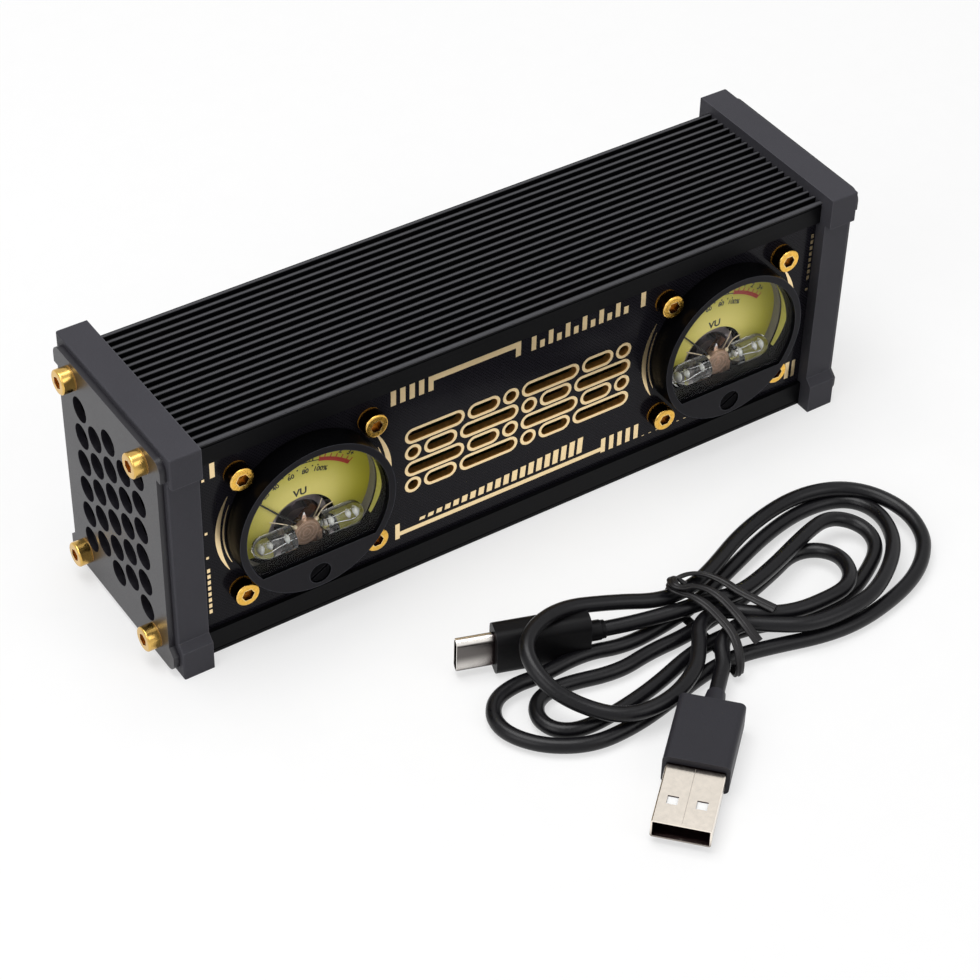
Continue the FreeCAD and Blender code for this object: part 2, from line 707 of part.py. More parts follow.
def meter_cup(x):
    """The rear cup with the ledge that the dial rests on and the rear bearing."""
    body = rod_y(FRONT, CUP_END, x, METER_Z, CUP_R)
    body = body.cut(rod_y(FRONT - PAST, BACK_WALL, x, METER_Z, CUP_INNER_R))
    ledge_y = DIAL_FACE + DIAL_THICK
    ledge = rod_y(ledge_y, ledge_y + CUP_LEDGE, x, METER_Z, CUP_R)
    ledge = ledge.cut(rod_y(ledge_y - PAST, CUP_END, x, METER_Z, CUP_INNER_R - CUP_LEDGE))
    bearing = rod_y(COIL_BACK + COIL_GAP, BACK_WALL + INTO, x, PIVOT_Z, BEARING_R)
    body = body.fuse([ledge, bearing])
    hole = rod_y(COIL_BACK, BACK_WALL + BEARING_SINK, x, PIVOT_Z, SHAFT_HOLE_R)
    return body.cut(hole).removeSplitter()


def dial_plate(x):
    """The printed disc, cut off below and open round the movement."""
    y0, y1 = DIAL_FACE, DIAL_FACE + DIAL_THICK
    disc = above(rod_y(y0, y1, x, METER_Z, CUP_INNER_R - FIT), x, DIAL_LOW)
    return disc.cut(rod_y(y0 - PAST, y1 + PAST, x, PIVOT_Z, DIAL_WINDOW_R))


def magnet_yoke(x):
    body = rod_y(YOKE_FRONT, BACK_WALL, x, PIVOT_Z, YOKE_R)
    return body.cut(rod_y(YOKE_FRONT - PAST, BACK_WALL + PAST, x, PIVOT_Z, YOKE_R - YOKE_WALL))


def magnet_core(x):
    """The core magnet, held in the yoke by one clamp bar above and below."""
    core = rod_y(CORE_FRONT, CORE_BACK, x, PIVOT_Z, CORE_R)
    reach = YOKE_R - YOKE_WALL
    y0 = (CORE_FRONT + CORE_BACK - CORE_ARM_DEPTH) / 2
    y1 = y0 + CORE_ARM_DEPTH
    bar = box(x - CORE_ARM / 2, x + CORE_ARM / 2, y0, y1, PIVOT_Z - reach, PIVOT_Z + reach)
    bar = bar.common(rod_y(y0, y1, x, PIVOT_Z, reach))
    return core.fuse(bar).removeSplitter()


def pivot_bridge(x):
    """The front bearing: a round hub on two legs that stand on the yoke."""
    body = rod_y(HUB_FRONT, HUB_BACK, x, PIVOT_Z, HUB_R)
    body = body.fuse(rod_y(HUB_BACK - INTO, BOSS_END, x, PIVOT_Z, HUB_BOSS_R))
    foot_x = LEG_INNER_X + LEG_WIDTH / 2
    low = PIVOT_Z - math.sqrt((YOKE_R - YOKE_WALL / 2) ** 2 - foot_x ** 2) - LEG_THICK / 2
    for side in (-1, 1):
        x0, x1 = sorted((x + side * LEG_INNER_X, x + side * (LEG_INNER_X + LEG_WIDTH)))
        body = body.fuse(box(x0, x1, HUB_FRONT, HUB_BACK, low, PIVOT_Z - HUB_BOSS_R))
        body = body.fuse(box(x0, x1, HUB_FRONT, YOKE_FRONT, low, low + LEG_THICK))
    hole = rod_y(HUB_FRONT + HUB_SKIN, BOSS_END + PAST, x, PIVOT_Z, SHAFT_HOLE_R)
    return body.cut(hole).removeSplitter()


def blade(x, half_low, z_low, half_high, z_high, y, thick):
    """A flat plate that tapers from one height above the pivot to another."""
    corners = [
        V(x - half_low, y, PIVOT_Z + z_low), V(x - half_high, y, PIVOT_Z + z_high),
        V(x + half_high, y, PIVOT_Z + z_high), V(x + half_low, y, PIVOT_Z + z_low),
    ]
    return Part.Face(Part.makePolygon(corners + corners[:1])).extrude(V(0, thick, 0))


def at_rest(shape, x):
    """Turns a shape about the pivot's axis to where the needle rests, on its left stop."""
    shape.rotate(V(x, 0, PIVOT_Z), V(0, 1, 0), -NEEDLE_REST_DEG)
    return shape


def needle(x):
    """The needle: a thin tapered blade, a hub and a balance tail."""
    y0, y1 = NEEDLE_FRONT, NEEDLE_FRONT + NEEDLE_THICK
    body = blade(x, NEEDLE_WIDTH / 2, 0, NEEDLE_TIP_WIDTH / 2, NEEDLE_LENGTH, y0, NEEDLE_THICK)
    half = NEEDLE_TAIL_WIDTH / 2
    tail = box(x - half, x + half, y0, y1, PIVOT_Z - NEEDLE_TAIL, PIVOT_Z)
    hub = rod_y(y0, y0 + NEEDLE_HUB_THICK, x, PIVOT_Z, NEEDLE_HUB_R)
    body = body.fuse([tail, hub]).cut(rod_y(y0 - PAST, y1 + PAST, x, PIVOT_Z, SHAFT_R))
    return at_rest(body.removeSplitter(), x)


def moving_coil(x):
    """The wound frame that turns round the core; it is level when the needle is upright."""
    half = COIL_WIDTH / 2
    outer = COIL_RADIUS + COIL_BAR / 2
    inner = COIL_RADIUS - COIL_BAR / 2
    z0, z1 = PIVOT_Z - half, PIVOT_Z + half
    body = box(x - outer, x + outer, COIL_FRONT, COIL_BACK, z0, z1)
    body = body.cut(box(x - inner, x + inner, COIL_FRONT + COIL_END, COIL_BACK - COIL_END, z0, z1))
    return at_rest(body, x)


def pivot_shaft(x):
    """Front and rear pivots, one on each end of the coil."""
    front = rod_y(HUB_FRONT + HUB_SKIN + END_PLAY, COIL_FRONT, x, PIVOT_Z, SHAFT_R)
    rear = rod_y(COIL_BACK, BACK_WALL + BEARING_SINK - END_PLAY, x, PIVOT_Z, SHAFT_R)
    return Part.makeCompound([front, rear])


def hairspring(x):
    """A flat spiral strip behind the needle, drawn as half turns of growing radius."""
    y0, y1 = SPRING_FRONT, SPRING_FRONT + SPRING_WIDTH
    halves = []
    r = SPRING_IN_R
    centre = x
    for i in range(2 * SPRING_TURNS):
        side = 1 if i % 2 == 0 else -1
        ring = rod_y(y0, y1, centre, PIVOT_Z, r + SPRING_STRIP)
        ring = ring.cut(rod_y(y0 - PAST, y1 + PAST, centre, PIVOT_Z, r))
        z0, z1 = sorted((PIVOT_Z, PIVOT_Z + side * YOKE_R))
        halves.append(ring.common(box(centre - YOKE_R, centre + YOKE_R, y0, y1, z0, z1)))
        centre += side * SPRING_STEP / 2
        r += SPRING_STEP / 2
    return halves[0].fuse(halves[1:]).removeSplitter()


def zero_lever(x):
    """The thin lever that turns on the bridge's boss: a pointed tip above, a fork below."""
    y0, y1 = LEVER_FRONT, LEVER_FRONT + LEVER_THICK
    ring = rod_y(y0, y1, x, PIVOT_Z, LEVER_RING_R)
    tip = blade(x, LEVER_TIP_HALF, LEVER_TIP_FOOT, LEVER_POINT_HALF, LEVER_TIP, y0, LEVER_THICK)
    outer = FORK_HALF + FORK_PRONG
    fork = box(x - outer, x + outer, y0, y1, ZERO_Z - FORK_BELOW, PIVOT_Z - LEVER_TIP_FOOT)
    fork = fork.cut(box(x - FORK_HALF, x + FORK_HALF, y0 - PAST, y1 + PAST,
                        ZERO_Z - PAST, ZERO_Z + FORK_SLOT_TOP))
    hole = rod_y(y0 - PAST, y1 + PAST, x, PIVOT_Z, HUB_BOSS_R + TURN_CLEAR)
    return ring.fuse([tip, fork]).cut(hole).removeSplitter()


def zero_screw(x):
    """The slotted zero screw with an eccentric pin that moves the lever's fork."""
    y0 = BEZEL_FACE + ZERO_HEAD_SINK
    y1 = y0 + ZERO_HEAD_HEIGHT
    shaft_end = LEVER_FRONT - ZERO_END_GAP
    half = ZERO_SLOT_WIDTH / 2
    body = rod_y(y0, y1, x, ZERO_Z, ZERO_HEAD_R)
    slot = box(x - ZERO_HEAD_R, x + ZERO_HEAD_R, y0 - PAST, y0 + ZERO_SLOT_DEPTH,
               ZERO_Z - half, ZERO_Z + half)
    slot.rotate(V(x, 0, ZERO_Z), V(0, 1, 0), -ZERO_SLOT_DEG)
    body = body.cut(slot)
    shaft = rod_y(y1 - INTO, shaft_end, x, ZERO_Z, ZERO_SHAFT_R)
    pin = rod_y(shaft_end - INTO, BOSS_END, x, ZERO_Z + ZERO_ORBIT, ZERO_PIN_R)
    return body.fuse([shaft, pin]).removeSplitter()


def meter_lamps(x):
    """Two clear lamps that lie level, one each side of the hub, with their tips outwards."""
    y = DIAL_FACE - LAMP_R - TURN_CLEAR
    lamps = []
    for side in (-1, 1):
        start = x + side * LAMP_INNER_X
        end = start + side * (LAMP_LENGTH - LAMP_R)
        tube = rod_x(min(start, end), max(start, end), y, LAMP_Z, LAMP_R)
        lamps.append(tube.fuse(Part.makeSphere(LAMP_R, V(end, y, LAMP_Z))).removeSplitter())
    return Part.makeCompound(lamps)


def meter_screws(x):
    return Part.makeCompound([
        socket_screw((sx, FRONT, sz), (0, 1, 0), METER_SCREW_LENGTH) for sx, sz in meter_screw_places(x)])


def meter_standoffs(x):
    """Hexagonal pillars from the panel to the meter's board, with a stud through the board."""
    start = -PANEL_BACK
    tapped = METER_SCREW_LENGTH - PANEL_THICK + PAST
    pillars = []
    for sx, sz in meter_screw_places(x):
        pillar = hexagon_bar((sx, start, sz), (0, 1, 0), STANDOFF_FLAT, BOARD_FRONT - start)
        pillar = pillar.cut(rod_y(start - PAST, start + tapped, sx, sz, TAPPED_HOLE_R))
        stud = rod_y(BOARD_FRONT, BOARD_FRONT + BOARD_THICK + STUD_LENGTH, sx, sz, SCREW_R)
        pillars.append(pillar.fuse(stud).removeSplitter())
    return Part.makeCompound(pillars)


def meter_board(x):
    """The square board that ties the four pillars behind a meter."""
    y0, y1 = BOARD_FRONT, BOARD_FRONT + BOARD_THICK
    half = METER_SCREW_REACH + BOARD_MARGIN
    body = box(x - half, x + half, y0, y1, METER_Z - half, METER_Z + half)
    body = round_edges(body, BOARD_CORNER_R, lambda a, b: abs(a.y - b.y) > NEAR)
    for sx, sz in meter_screw_places(x):
        body = body.cut(rod_y(y0 - PAST, y1 + PAST, sx, sz, CLEAR_HOLE_R))
    return body


def meter_nuts():
    """M3 nuts behind both boards."""
    nuts = []
    y = BOARD_FRONT + BOARD_THICK
    for x in (-METER_X, METER_X):
        for sx, sz in meter_screw_places(x):
            nut = hexagon_bar((sx, y, sz), (0, 1, 0), NUT_FLAT, NUT_HEIGHT)
            nuts.append(nut.cut(rod_y(y - PAST, y + NUT_HEIGHT + PAST, sx, sz, TAPPED_HOLE_R)))
    return Part.makeCompound(nuts)


# ---- USB lead ----

def along(tip, heading, distance):
    """The point at a distance from a plug's tip, along its axis, in plan."""
    a = math.radians(heading)
    return tip[0] + distance * math.cos(a), tip[1] + distance * math.sin(a)


def plug_block(tip, heading, start, size, z0, corner_r):
    """A block that lies along a plug's axis, with rounded long edges."""
    length, width, height = size
    body = box(0, length, -width / 2, width / 2, 0, height)
    body = round_edges(body, corner_r, lambda a, b: abs(a.x - b.x) > length - NEAR)
    x, y = along(tip, heading, start)
    body.rotate(V(0, 0, 0), V(0, 0, 1), heading)
    body.translate(V(x, y, z0))
    return body


def usb_c_shell():
    """The USB-C plug's metal tube, on edge."""
    length, width, height = C_SHELL
    wall = C_SHELL_WALL
    z0 = FLOOR_CLEAR + (C_GRIP[2] - height) / 2
    body = plug_block(C_TIP, C_HEADING, 0, C_SHELL, z0, C_SHELL_CORNER_R)
    bore = (length - C_SHELL_FLOOR + PAST, width - 2 * wall, height - 2 * wall)
    return body.cut(plug_block(C_TIP, C_HEADING, -PAST, bore, z0 + wall, C_SHELL_CORNER_R - wall))


def usb_c_grip():
    return plug_block(C_TIP, C_HEADING, C_SHELL[0], C_GRIP, FLOOR_CLEAR, C_GRIP_CORNER_R)


def a_shell_z():
    return FLOOR_CLEAR + (A_GRIP[2] - A_SHELL[2]) / 2


def usb_a_shell():
    """The USB-A plug's folded metal shell with its two latch holes on each broad side."""
    length, width, height = A_SHELL
    wall = A_SHELL_WALL
    z0 = a_shell_z()
    body = plug_block(A_TIP, A_HEADING, 0, A_SHELL, z0, A_SHELL_CORNER_R)
    bore = (length - wall + PAST, width - 2 * wall, height - 2 * wall)
    body = body.cut(plug_block(A_TIP, A_HEADING, -PAST, bore, z0 + wall, A_SHELL_CORNER_R - wall))
    for side in (-1, 1):
        y0 = side * A_HOLE_SPREAD - A_HOLE / 2
        hole = box(A_HOLE_START, A_HOLE_START + A_HOLE, y0, y0 + A_HOLE, -PAST, z0 + height + PAST)
        hole.rotate(V(0, 0, 0), V(0, 0, 1), A_HEADING)
        hole.translate(V(A_TIP[0], A_TIP[1], 0))
        body = body.cut(hole)
    return body


def usb_a_tongue():
    """The contact carrier, against the upper wall of the USB-A shell."""
    wall = A_SHELL_WALL
    length = A_SHELL[0] - wall - A_TONGUE_SETBACK
    size = (length, A_SHELL[1] - 2 * wall - FIT, A_TONGUE_THICK)
    z0 = a_shell_z() + A_SHELL[2] - wall - A_TONGUE_THICK
    return plug_block(A_TIP, A_HEADING, A_TONGUE_SETBACK, size, z0, FIT)


def usb_a_grip():
    """The moulded grip with a tapered strain relief towards the cord."""
    body = plug_block(A_TIP, A_HEADING, A_SHELL[0], A_GRIP, FLOOR_CLEAR, A_GRIP_CORNER_R)
    x, y = along(A_TIP, A_HEADING, A_SHELL[0] + A_GRIP[0] - INTO)
    a = math.radians(A_HEADING)
    relief = Part.makeCone(A_RELIEF_R, CORD_D / 2 + A_RELIEF_WALL, A_RELIEF_LENGTH + INTO,
                           V(x, y, FLOOR_CLEAR + A_GRIP[2] / 2), V(math.cos(a), math.sin(a), 0))
    return body.fuse(relief).removeSplitter()


def lead_hank():
    """The wound cord's outer shape: two flat lobes that meet in the tied waist."""
    outline = Part.BSplineCurve()
    outline.interpolate([V(x, y, HANK_BOTTOM) for x, y in HANK_OUTLINE], PeriodicFlag=True)
    body = Part.Face(Part.Wire(outline.toShape())).extrude(V(0, 0, HANK_TOP - HANK_BOTTOM))
    length, width, height = C_GRIP
    size = (2 * C_SHELL[0] + length, width + 2 * GRIP_CLEAR, 2 * height)
    notch = plug_block(C_TIP, C_HEADING, -C_SHELL[0], size, -height / 2, GRIP_CLEAR)
    return body.cut(notch)


def lead_tail():
    """The short straight length between the hank and the strain relief."""
    x, y = along(A_TIP, A_HEADING, A_SHELL[0] + A_GRIP[0] + A_RELIEF_LENGTH)
    a = math.radians(A_HEADING)
    tube = Part.makeCylinder(CORD_D / 2, TAIL_REACH, V(x, y, FLOOR_CLEAR + A_GRIP[2] / 2),
                             V(math.cos(a), math.sin(a), 0))
    outside = tube.cut(lead_hank())
    return min(outside.Solids, key=lambda solid: solid.CenterOfMass.x)


def lead_tie():
    """A flat band round the hank's waist."""
    x0, x1 = TIE_X - TIE_WIDTH / 2, TIE_X + TIE_WIDTH / 2
    hank = lead_hank()
    band = box(x0, x1, hank.BoundBox.YMin, hank.BoundBox.YMax, HANK_BOTTOM, HANK_TOP)
    waist = band.common(hank).BoundBox
    t = TIE_THICK
    outer = box(x0, x1, waist.YMin - t, waist.YMax + t, HANK_BOTTOM - t, HANK_TOP + t)
    return outer.cut(box(x0 - PAST, x1 + PAST, waist.YMin, waist.YMax, HANK_BOTTOM, HANK_TOP))


# ---- all nodes ----

nodes = {
    "top_extrusion": extrusion(TOP_OUTER, TOP_LIP_HEIGHT, TOP_SCREW_Z, 1),
    "base_extrusion": extrusion(BASE_OUTER, BASE_LIP_HEIGHT, BASE_SCREW_Z, -1),
    "front_panel": front_panel(),
    "rear_panel": rear_panel(),
    "main_board": main_board(),
    "board_parts": board_parts(),
    "usb_c_inlet": usb_c_inlet(),
    "line_in_jack": line_in_jack(),
    "gain_pot": gain_pot(),
    "gain_shaft": gain_shaft(),
    "gain_knob": gain_knob(),
    "meter_nuts": meter_nuts(),
    "usb_c_shell": usb_c_shell(),
    "usb_c_grip": usb_c_grip(),
    "usb_a_shell": usb_a_shell(),
    "usb_a_tongue": usb_a_tongue(),
    "usb_a_grip": usb_a_grip(),
    "lead_hank": lead_hank(),
    "lead_tail": lead_tail(),
    "lead_tie": lead_tie(),
}

for name, side in (("left", -1), ("right", 1)):
    nodes[f"{name}_end_frame"] = end_frame(side)
    nodes[f"{name}_end_plate"] = end_plate(side)
    nodes[f"{name}_end_screws"] = end_screws(side)
    centre = side * METER_X
    for make in (meter_bezel, meter_lens, meter_cup, dial_plate, magnet_yoke, magnet_core,
                 pivot_bridge, needle, moving_coil, pivot_shaft, hairspring, zero_lever,
                 zero_screw, meter_lamps, meter_screws, meter_standoffs, meter_board):
        nodes[f"{name}_{make.__name__}"] = make(centre)

os.makedirs("parts", exist_ok=True)
for name, shape in nodes.items():
    shape.exportStep(f"parts/{name}.step")
print(len(nodes), "nodes")
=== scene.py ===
import math

import bmesh
import bpy
from mathutils import Matrix, Vector


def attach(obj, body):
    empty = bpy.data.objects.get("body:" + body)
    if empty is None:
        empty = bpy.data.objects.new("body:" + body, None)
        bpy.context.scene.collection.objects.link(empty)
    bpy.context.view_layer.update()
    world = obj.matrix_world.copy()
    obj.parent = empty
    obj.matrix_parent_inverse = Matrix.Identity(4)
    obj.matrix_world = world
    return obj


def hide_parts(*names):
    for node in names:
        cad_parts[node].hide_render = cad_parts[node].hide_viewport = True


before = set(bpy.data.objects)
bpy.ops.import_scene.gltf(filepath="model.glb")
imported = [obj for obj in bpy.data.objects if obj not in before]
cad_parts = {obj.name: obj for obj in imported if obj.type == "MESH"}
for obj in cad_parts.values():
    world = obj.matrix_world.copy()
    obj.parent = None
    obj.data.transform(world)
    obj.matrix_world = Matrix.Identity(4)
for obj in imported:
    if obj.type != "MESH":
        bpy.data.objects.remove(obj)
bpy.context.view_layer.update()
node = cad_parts


# ---- camera ----
# It stands in front of the left end and looks down on the case, with a slight roll.
# A long lens keeps the case's edges nearly parallel.

CAMERA_PLACE = (-0.2598, -0.3874, 0.4036)
CAMERA_TURN, CAMERA_RISE, CAMERA_ROLL = (math.radians(d) for d in (-34.48, 41.23, 1.58))
CAMERA_LENS, CAMERA_SENSOR = 102.35, 36
toward = Vector((math.sin(CAMERA_TURN) * math.cos(CAMERA_RISE),
                 -math.cos(CAMERA_TURN) * math.cos(CAMERA_RISE), math.sin(CAMERA_RISE)))
level = (-toward).cross(Vector((0, 0, 1))).normalized()
upright = level.cross(-toward)
across = level * math.cos(CAMERA_ROLL) + upright * math.sin(CAMERA_ROLL)
over = upright * math.cos(CAMERA_ROLL) - level * math.sin(CAMERA_ROLL)
lens_data = bpy.data.cameras.new("camera")
lens_data.sensor_width = CAMERA_SENSOR
lens_data.lens = CAMERA_LENS
lens_data.clip_start = 0.02
camera = bpy.data.objects.new("camera", lens_data)
camera.matrix_world = Matrix.Translation(CAMERA_PLACE) @ Matrix((across, over, toward)).transposed().to_4x4()
bpy.context.scene.collection.objects.link(camera)
bpy.context.scene.camera = camera
bpy.context.scene.view_settings.view_transform = "Standard"


# ---- floor and light ----
# A pale paper floor, a white surround and three soft lamps, none of which is part of the meter.
# Eyes and polished parts see the floor and the surround as white; the shadows stay.

def shader_tree(name):
    """An empty node material and its nodes."""
    material = bpy.data.materials.new(name)
    material.use_nodes = True
    material.node_tree.nodes.clear()
    return material, material.node_tree


def add(tree, kind, inputs=None, **settings):
    """A new node; inputs are numbers, colours or sockets, settings are its properties."""
    made = tree.nodes.new("ShaderNode" + kind)
    for key, value in settings.items():
        setattr(made, key, value)
    for key, value in (inputs or {}).items():
        if isinstance(value, bpy.types.NodeSocket):
            tree.links.new(value, made.inputs[key])
        else:
            made.inputs[key].default_value = value
    return made


def calc(tree, operation, *values):
    """A Math node fed by sockets or numbers; gives its output."""
    return add(tree, "Math", dict(enumerate(values)), operation=operation).outputs[0]


def seen_directly(tree):
    """1 for rays from the eye, from a polished surface and through glass."""
    path = add(tree, "LightPath").outputs
    return calc(tree, "MAXIMUM", calc(tree, "MAXIMUM", path["Is Camera Ray"], path["Is Glossy Ray"]),
                path["Is Transmission Ray"])


def mesh_piece(name, points, faces, material, body="root", smooth=None):
    """A mesh in the part's frame that rides on a body; smooth is the angle up to which edges shade soft."""
    mesh = bpy.data.meshes.new(name)
    mesh.from_pydata([tuple(p) for p in points], [], faces)
    mesh.validate()
    mesh.materials.append(material)
    piece = bpy.data.objects.new(name, mesh)
    bpy.context.scene.collection.objects.link(piece)
    if smooth is not None:
        mesh.shade_smooth()
        mesh.set_sharp_from_angle(angle=math.radians(smooth))
    if body:
        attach(piece, body)
    return piece


FLOOR_HALF, FLOOR_STEPS = 3.0, 6
FLOOR_WHITE, WHITE_FROM, WHITE_AT = 0.60, 0.20, 0.75
paper, tree = shader_tree("paper_floor")
fibre = add(tree, "TexNoise", {"Scale": 900})
tone = add(tree, "MapRange", {"Value": fibre.outputs["Fac"], "To Min": 0.90, "To Max": 0.94})
matt = add(tree, "BsdfDiffuse", {"Color": tone.outputs["Result"]})
glow = add(tree, "Emission")
away = add(tree, "VectorMath", {0: add(tree, "TexCoord").outputs["Object"]}, operation="LENGTH")
paling = add(tree, "MapRange", {"Value": away.outputs["Value"], "From Min": WHITE_FROM, "From Max": WHITE_AT,
                                "To Min": FLOOR_WHITE})
share = calc(tree, "MULTIPLY", seen_directly(tree), paling.outputs["Result"])
shown = add(tree, "MixShader", {0: share, 1: matt.outputs[0], 2: glow.outputs[0]})
add(tree, "OutputMaterial", {"Surface": shown.outputs[0]})
floor_line = [-FLOOR_HALF + 2 * FLOOR_HALF * i / FLOOR_STEPS for i in range(FLOOR_STEPS + 1)]
floor_points = [(x, y, 0) for y in floor_line for x in floor_line]
row = FLOOR_STEPS + 1
floor_faces = [(k, k + 1, k + row + 1, k + row)
               for j in range(FLOOR_STEPS) for k in range(j * row, j * row + FLOOR_STEPS)]
floor = mesh_piece("floor", floor_points, floor_faces, paper, body=None)

SURROUND_LIGHT = 0.38
surround = bpy.data.worlds.new("surround")
surround.use_nodes = True
tree = surround.node_tree
tree.nodes.clear()
sky_level = add(tree, "MapRange", {"Value": seen_directly(tree), "To Min": SURROUND_LIGHT})
sky = add(tree, "Background", {"Strength": sky_level.outputs["Result"]})
add(tree, "OutputWorld", {"Surface": sky.outputs[0]})
bpy.context.scene.world = surround

# Each lamp: its place, the side of its square and its power; all face the part.
LAMPS = {"overhead": ((-0.15, 0.10, 1.1), 0.75, 8.9), "left": ((-1.1, -0.35, 0.75), 0.8, 4.0),
         "front": ((0.45, -1.0, 0.9), 0.7, 2.4)}
for lamp_name, (place, side, power) in LAMPS.items():
    lamp_data = bpy.data.lights.new(lamp_name, "AREA")
    lamp_data.size = side
    lamp_data.energy = power
    lamp = bpy.data.objects.new(lamp_name, lamp_data)
    lamp.location = place
    lamp.rotation_euler = (-Vector(place)).to_track_quat("-Z", "Y").to_euler()
    bpy.context.scene.collection.objects.link(lamp)


# ---- USB lead: the cord ----
# One length of round cord in smooth black rubber, wound into four right turns and three left ones.
# It leaves the small plug, passes through the tie seven times and ends in the large plug.

MM = 0.001
CORD_D = 0.0033


def in_metres(places):
    """Places or outlines given in millimetres."""
    return [tuple(v * MM for v in place) for place in places]


CORD_ROUTE = in_metres([
    (-10.1, -60.5, 5.7), (-5.4, -62.1, 5.7), (2.0, -64.2, 5.9), (9.5, -66.0, 6.3), (16.4, -67.0, 6.6),
    (22.5, -68.7, 6.6), (32.7, -66.1, 6.2), (46.6, -60.9, 6.1), (53.9, -58.8, 5.2), (58.7, -60.9, 4.0),
    (60.6, -65.5, 3.4), (58.8, -70.5, 2.8), (52.5, -74.5, 2.2), (46.0, -77.5, 2.0), (38.0, -78.2, 2.0),
    (29.5, -77.1, 2.0), (21.8, -74.6, 2.2), (13.5, -73.6, 2.2), (5.5, -74.5, 2.1), (-4.6, -77.6, 2.0),
    (-14.8, -79.5, 2.0), (-24.8, -80.0, 2.0), (-29.7, -77.1, 2.0), (-30.6, -72.1, 2.0), (-27.5, -67.9, 2.0),
    (-21.0, -67.3, 2.0), (-9.4, -70.5, 2.0), (-0.3, -69.2, 2.0), (8.1, -69.4, 2.1), (15.6, -68.5, 2.3),
    (24.2, -67.4, 2.6), (34.7, -64.4, 2.6), (42.1, -61.8, 2.8), (47.4, -63.7, 3.2), (49.8, -68.6, 4.0),
    (48.0, -74.5, 5.0), (44.1, -78.2, 5.6), (39.1, -79.1, 5.8), (29.7, -78.7, 5.8), (22.2, -75.1, 6.1),
    (17.9, -71.1, 6.2), (13.4, -70.3, 6.3), (9.5, -72.1, 6.2), (7.2, -75.8, 6.0), (2.0, -81.6, 5.8),
    (-7.5, -85.6, 5.6), (-17.6, -84.6, 5.6), (-24.5, -77.7, 6.8), (-28.8, -70.8, 10.0),
    (-27.9, -62.0, 13.2), (-16.4, -56.9, 12.6), (-2.7, -59.5, 9.6), (6.7, -62.4, 7.4), (14.6, -62.1, 6.8),
    (21.5, -59.9, 6.4), (35.7, -52.8, 5.6), (50.4, -49.6, 5.4), (61.1, -51.4, 5.2), (67.9, -56.5, 4.6),
    (71.4, -64.6, 3.8), (70.2, -72.2, 3.0), (65.8, -77.5, 2.6), (59.7, -81.3, 2.2), (51.9, -83.7, 2.0),
    (42.0, -85.3, 2.0), (33.0, -84.6, 2.0), (21.9, -81.4, 2.0), (14.0, -79.6, 2.0), (4.5, -80.2, 1.9),
    (-6.3, -83.1, 2.0), (-15.7, -84.7, 2.0), (-25.1, -84.5, 2.0), (-33.1, -80.1, 2.0), (-37.8, -73.8, 2.0),
    (-38.3, -68.1, 2.0), (-35.0, -63.7, 2.2), (-29.3, -62.6, 2.4), (-23.8, -63.3, 2.4), (-12.4, -62.4, 2.3),
    (-3.8, -65.2, 2.2), (6.0, -64.6, 2.2), (15.2, -63.4, 2.6), (27.5, -59.0, 2.8), (42.8, -53.4, 2.6),
    (54.2, -51.5, 2.4), (62.7, -53.3, 2.4), (66.4, -58.3, 2.6), (65.9, -65.2, 3.2), (60.7, -74.1, 4.6),
    (49.1, -82.4, 5.6), (40.0, -84.2, 5.8), (29.8, -83.6, 5.9), (22.4, -78.8, 6.0), (18.7, -76.1, 6.2),
    (14.7, -75.9, 6.0), (11.2, -77.8, 5.4), (8.9, -81.9, 4.6), (5.8, -84.7, 4.1), (2.6, -87.7, 4.0)
])


def new_effect(name, given, results):
    """An empty node group with its given sockets and its results; given is (socket, kind, value)."""
    effect = bpy.data.node_groups.new(name, "ShaderNodeTree")
    for label, kind, value in given:
        socket = effect.interface.new_socket(label, in_out="INPUT", socket_type="NodeSocket" + kind)
        socket.default_value = value
    for label, kind in results:
        effect.interface.new_socket(label, in_out="OUTPUT", socket_type="NodeSocket" + kind)
    return effect, effect.nodes.new("NodeGroupInput").outputs, effect.nodes.new("NodeGroupOutput").inputs


# Fine grain with slow cloudy change: colour, roughness and height for moulded, coated and turned surfaces.
FINE_SHARE, CLOUD_SHARE, CLOUD_SCALE = 3.0, 1.6, 70
grain, given, result = new_effect(
    "surface_grain",
    [("Colour", "Color", (0.5, 0.5, 0.5, 1)), ("Shade", "Float", 0.1), ("Size", "Float", 2500.0),
     ("Stretch", "Vector", (1.0, 1.0, 1.0)), ("Roughness", "Float", 0.4), ("Spread", "Float", 0.05)],
    [("Colour", "Color"), ("Roughness", "Float"), ("Height", "Float")])
place = add(grain, "TexCoord").outputs["Object"]
drawn = add(grain, "VectorMath", {0: place, 1: given["Stretch"]}, operation="MULTIPLY")
fine = add(grain, "TexNoise", {"Vector": drawn.outputs[0], "Scale": given["Size"], "Detail": 3})
fine = fine.outputs["Fac"]
cloud = add(grain, "TexNoise", {"Vector": place, "Scale": CLOUD_SCALE, "Detail": 4}).outputs["Fac"]
swing = calc(grain, "ADD", calc(grain, "MULTIPLY", calc(grain, "SUBTRACT", fine, 0.5), FINE_SHARE),
             calc(grain, "MULTIPLY", calc(grain, "SUBTRACT", cloud, 0.5), CLOUD_SHARE))
shading = calc(grain, "MULTIPLY_ADD", swing, given["Shade"], 1.0)
tint = add(grain, "VectorMath", {0: given["Colour"], "Scale": shading}, operation="SCALE")
grain.links.new(tint.outputs[0], result["Colour"])
grain.links.new(calc(grain, "MULTIPLY_ADD", swing, given["Spread"], given["Roughness"]), result["Roughness"])
grain.links.new(fine, result["Height"])

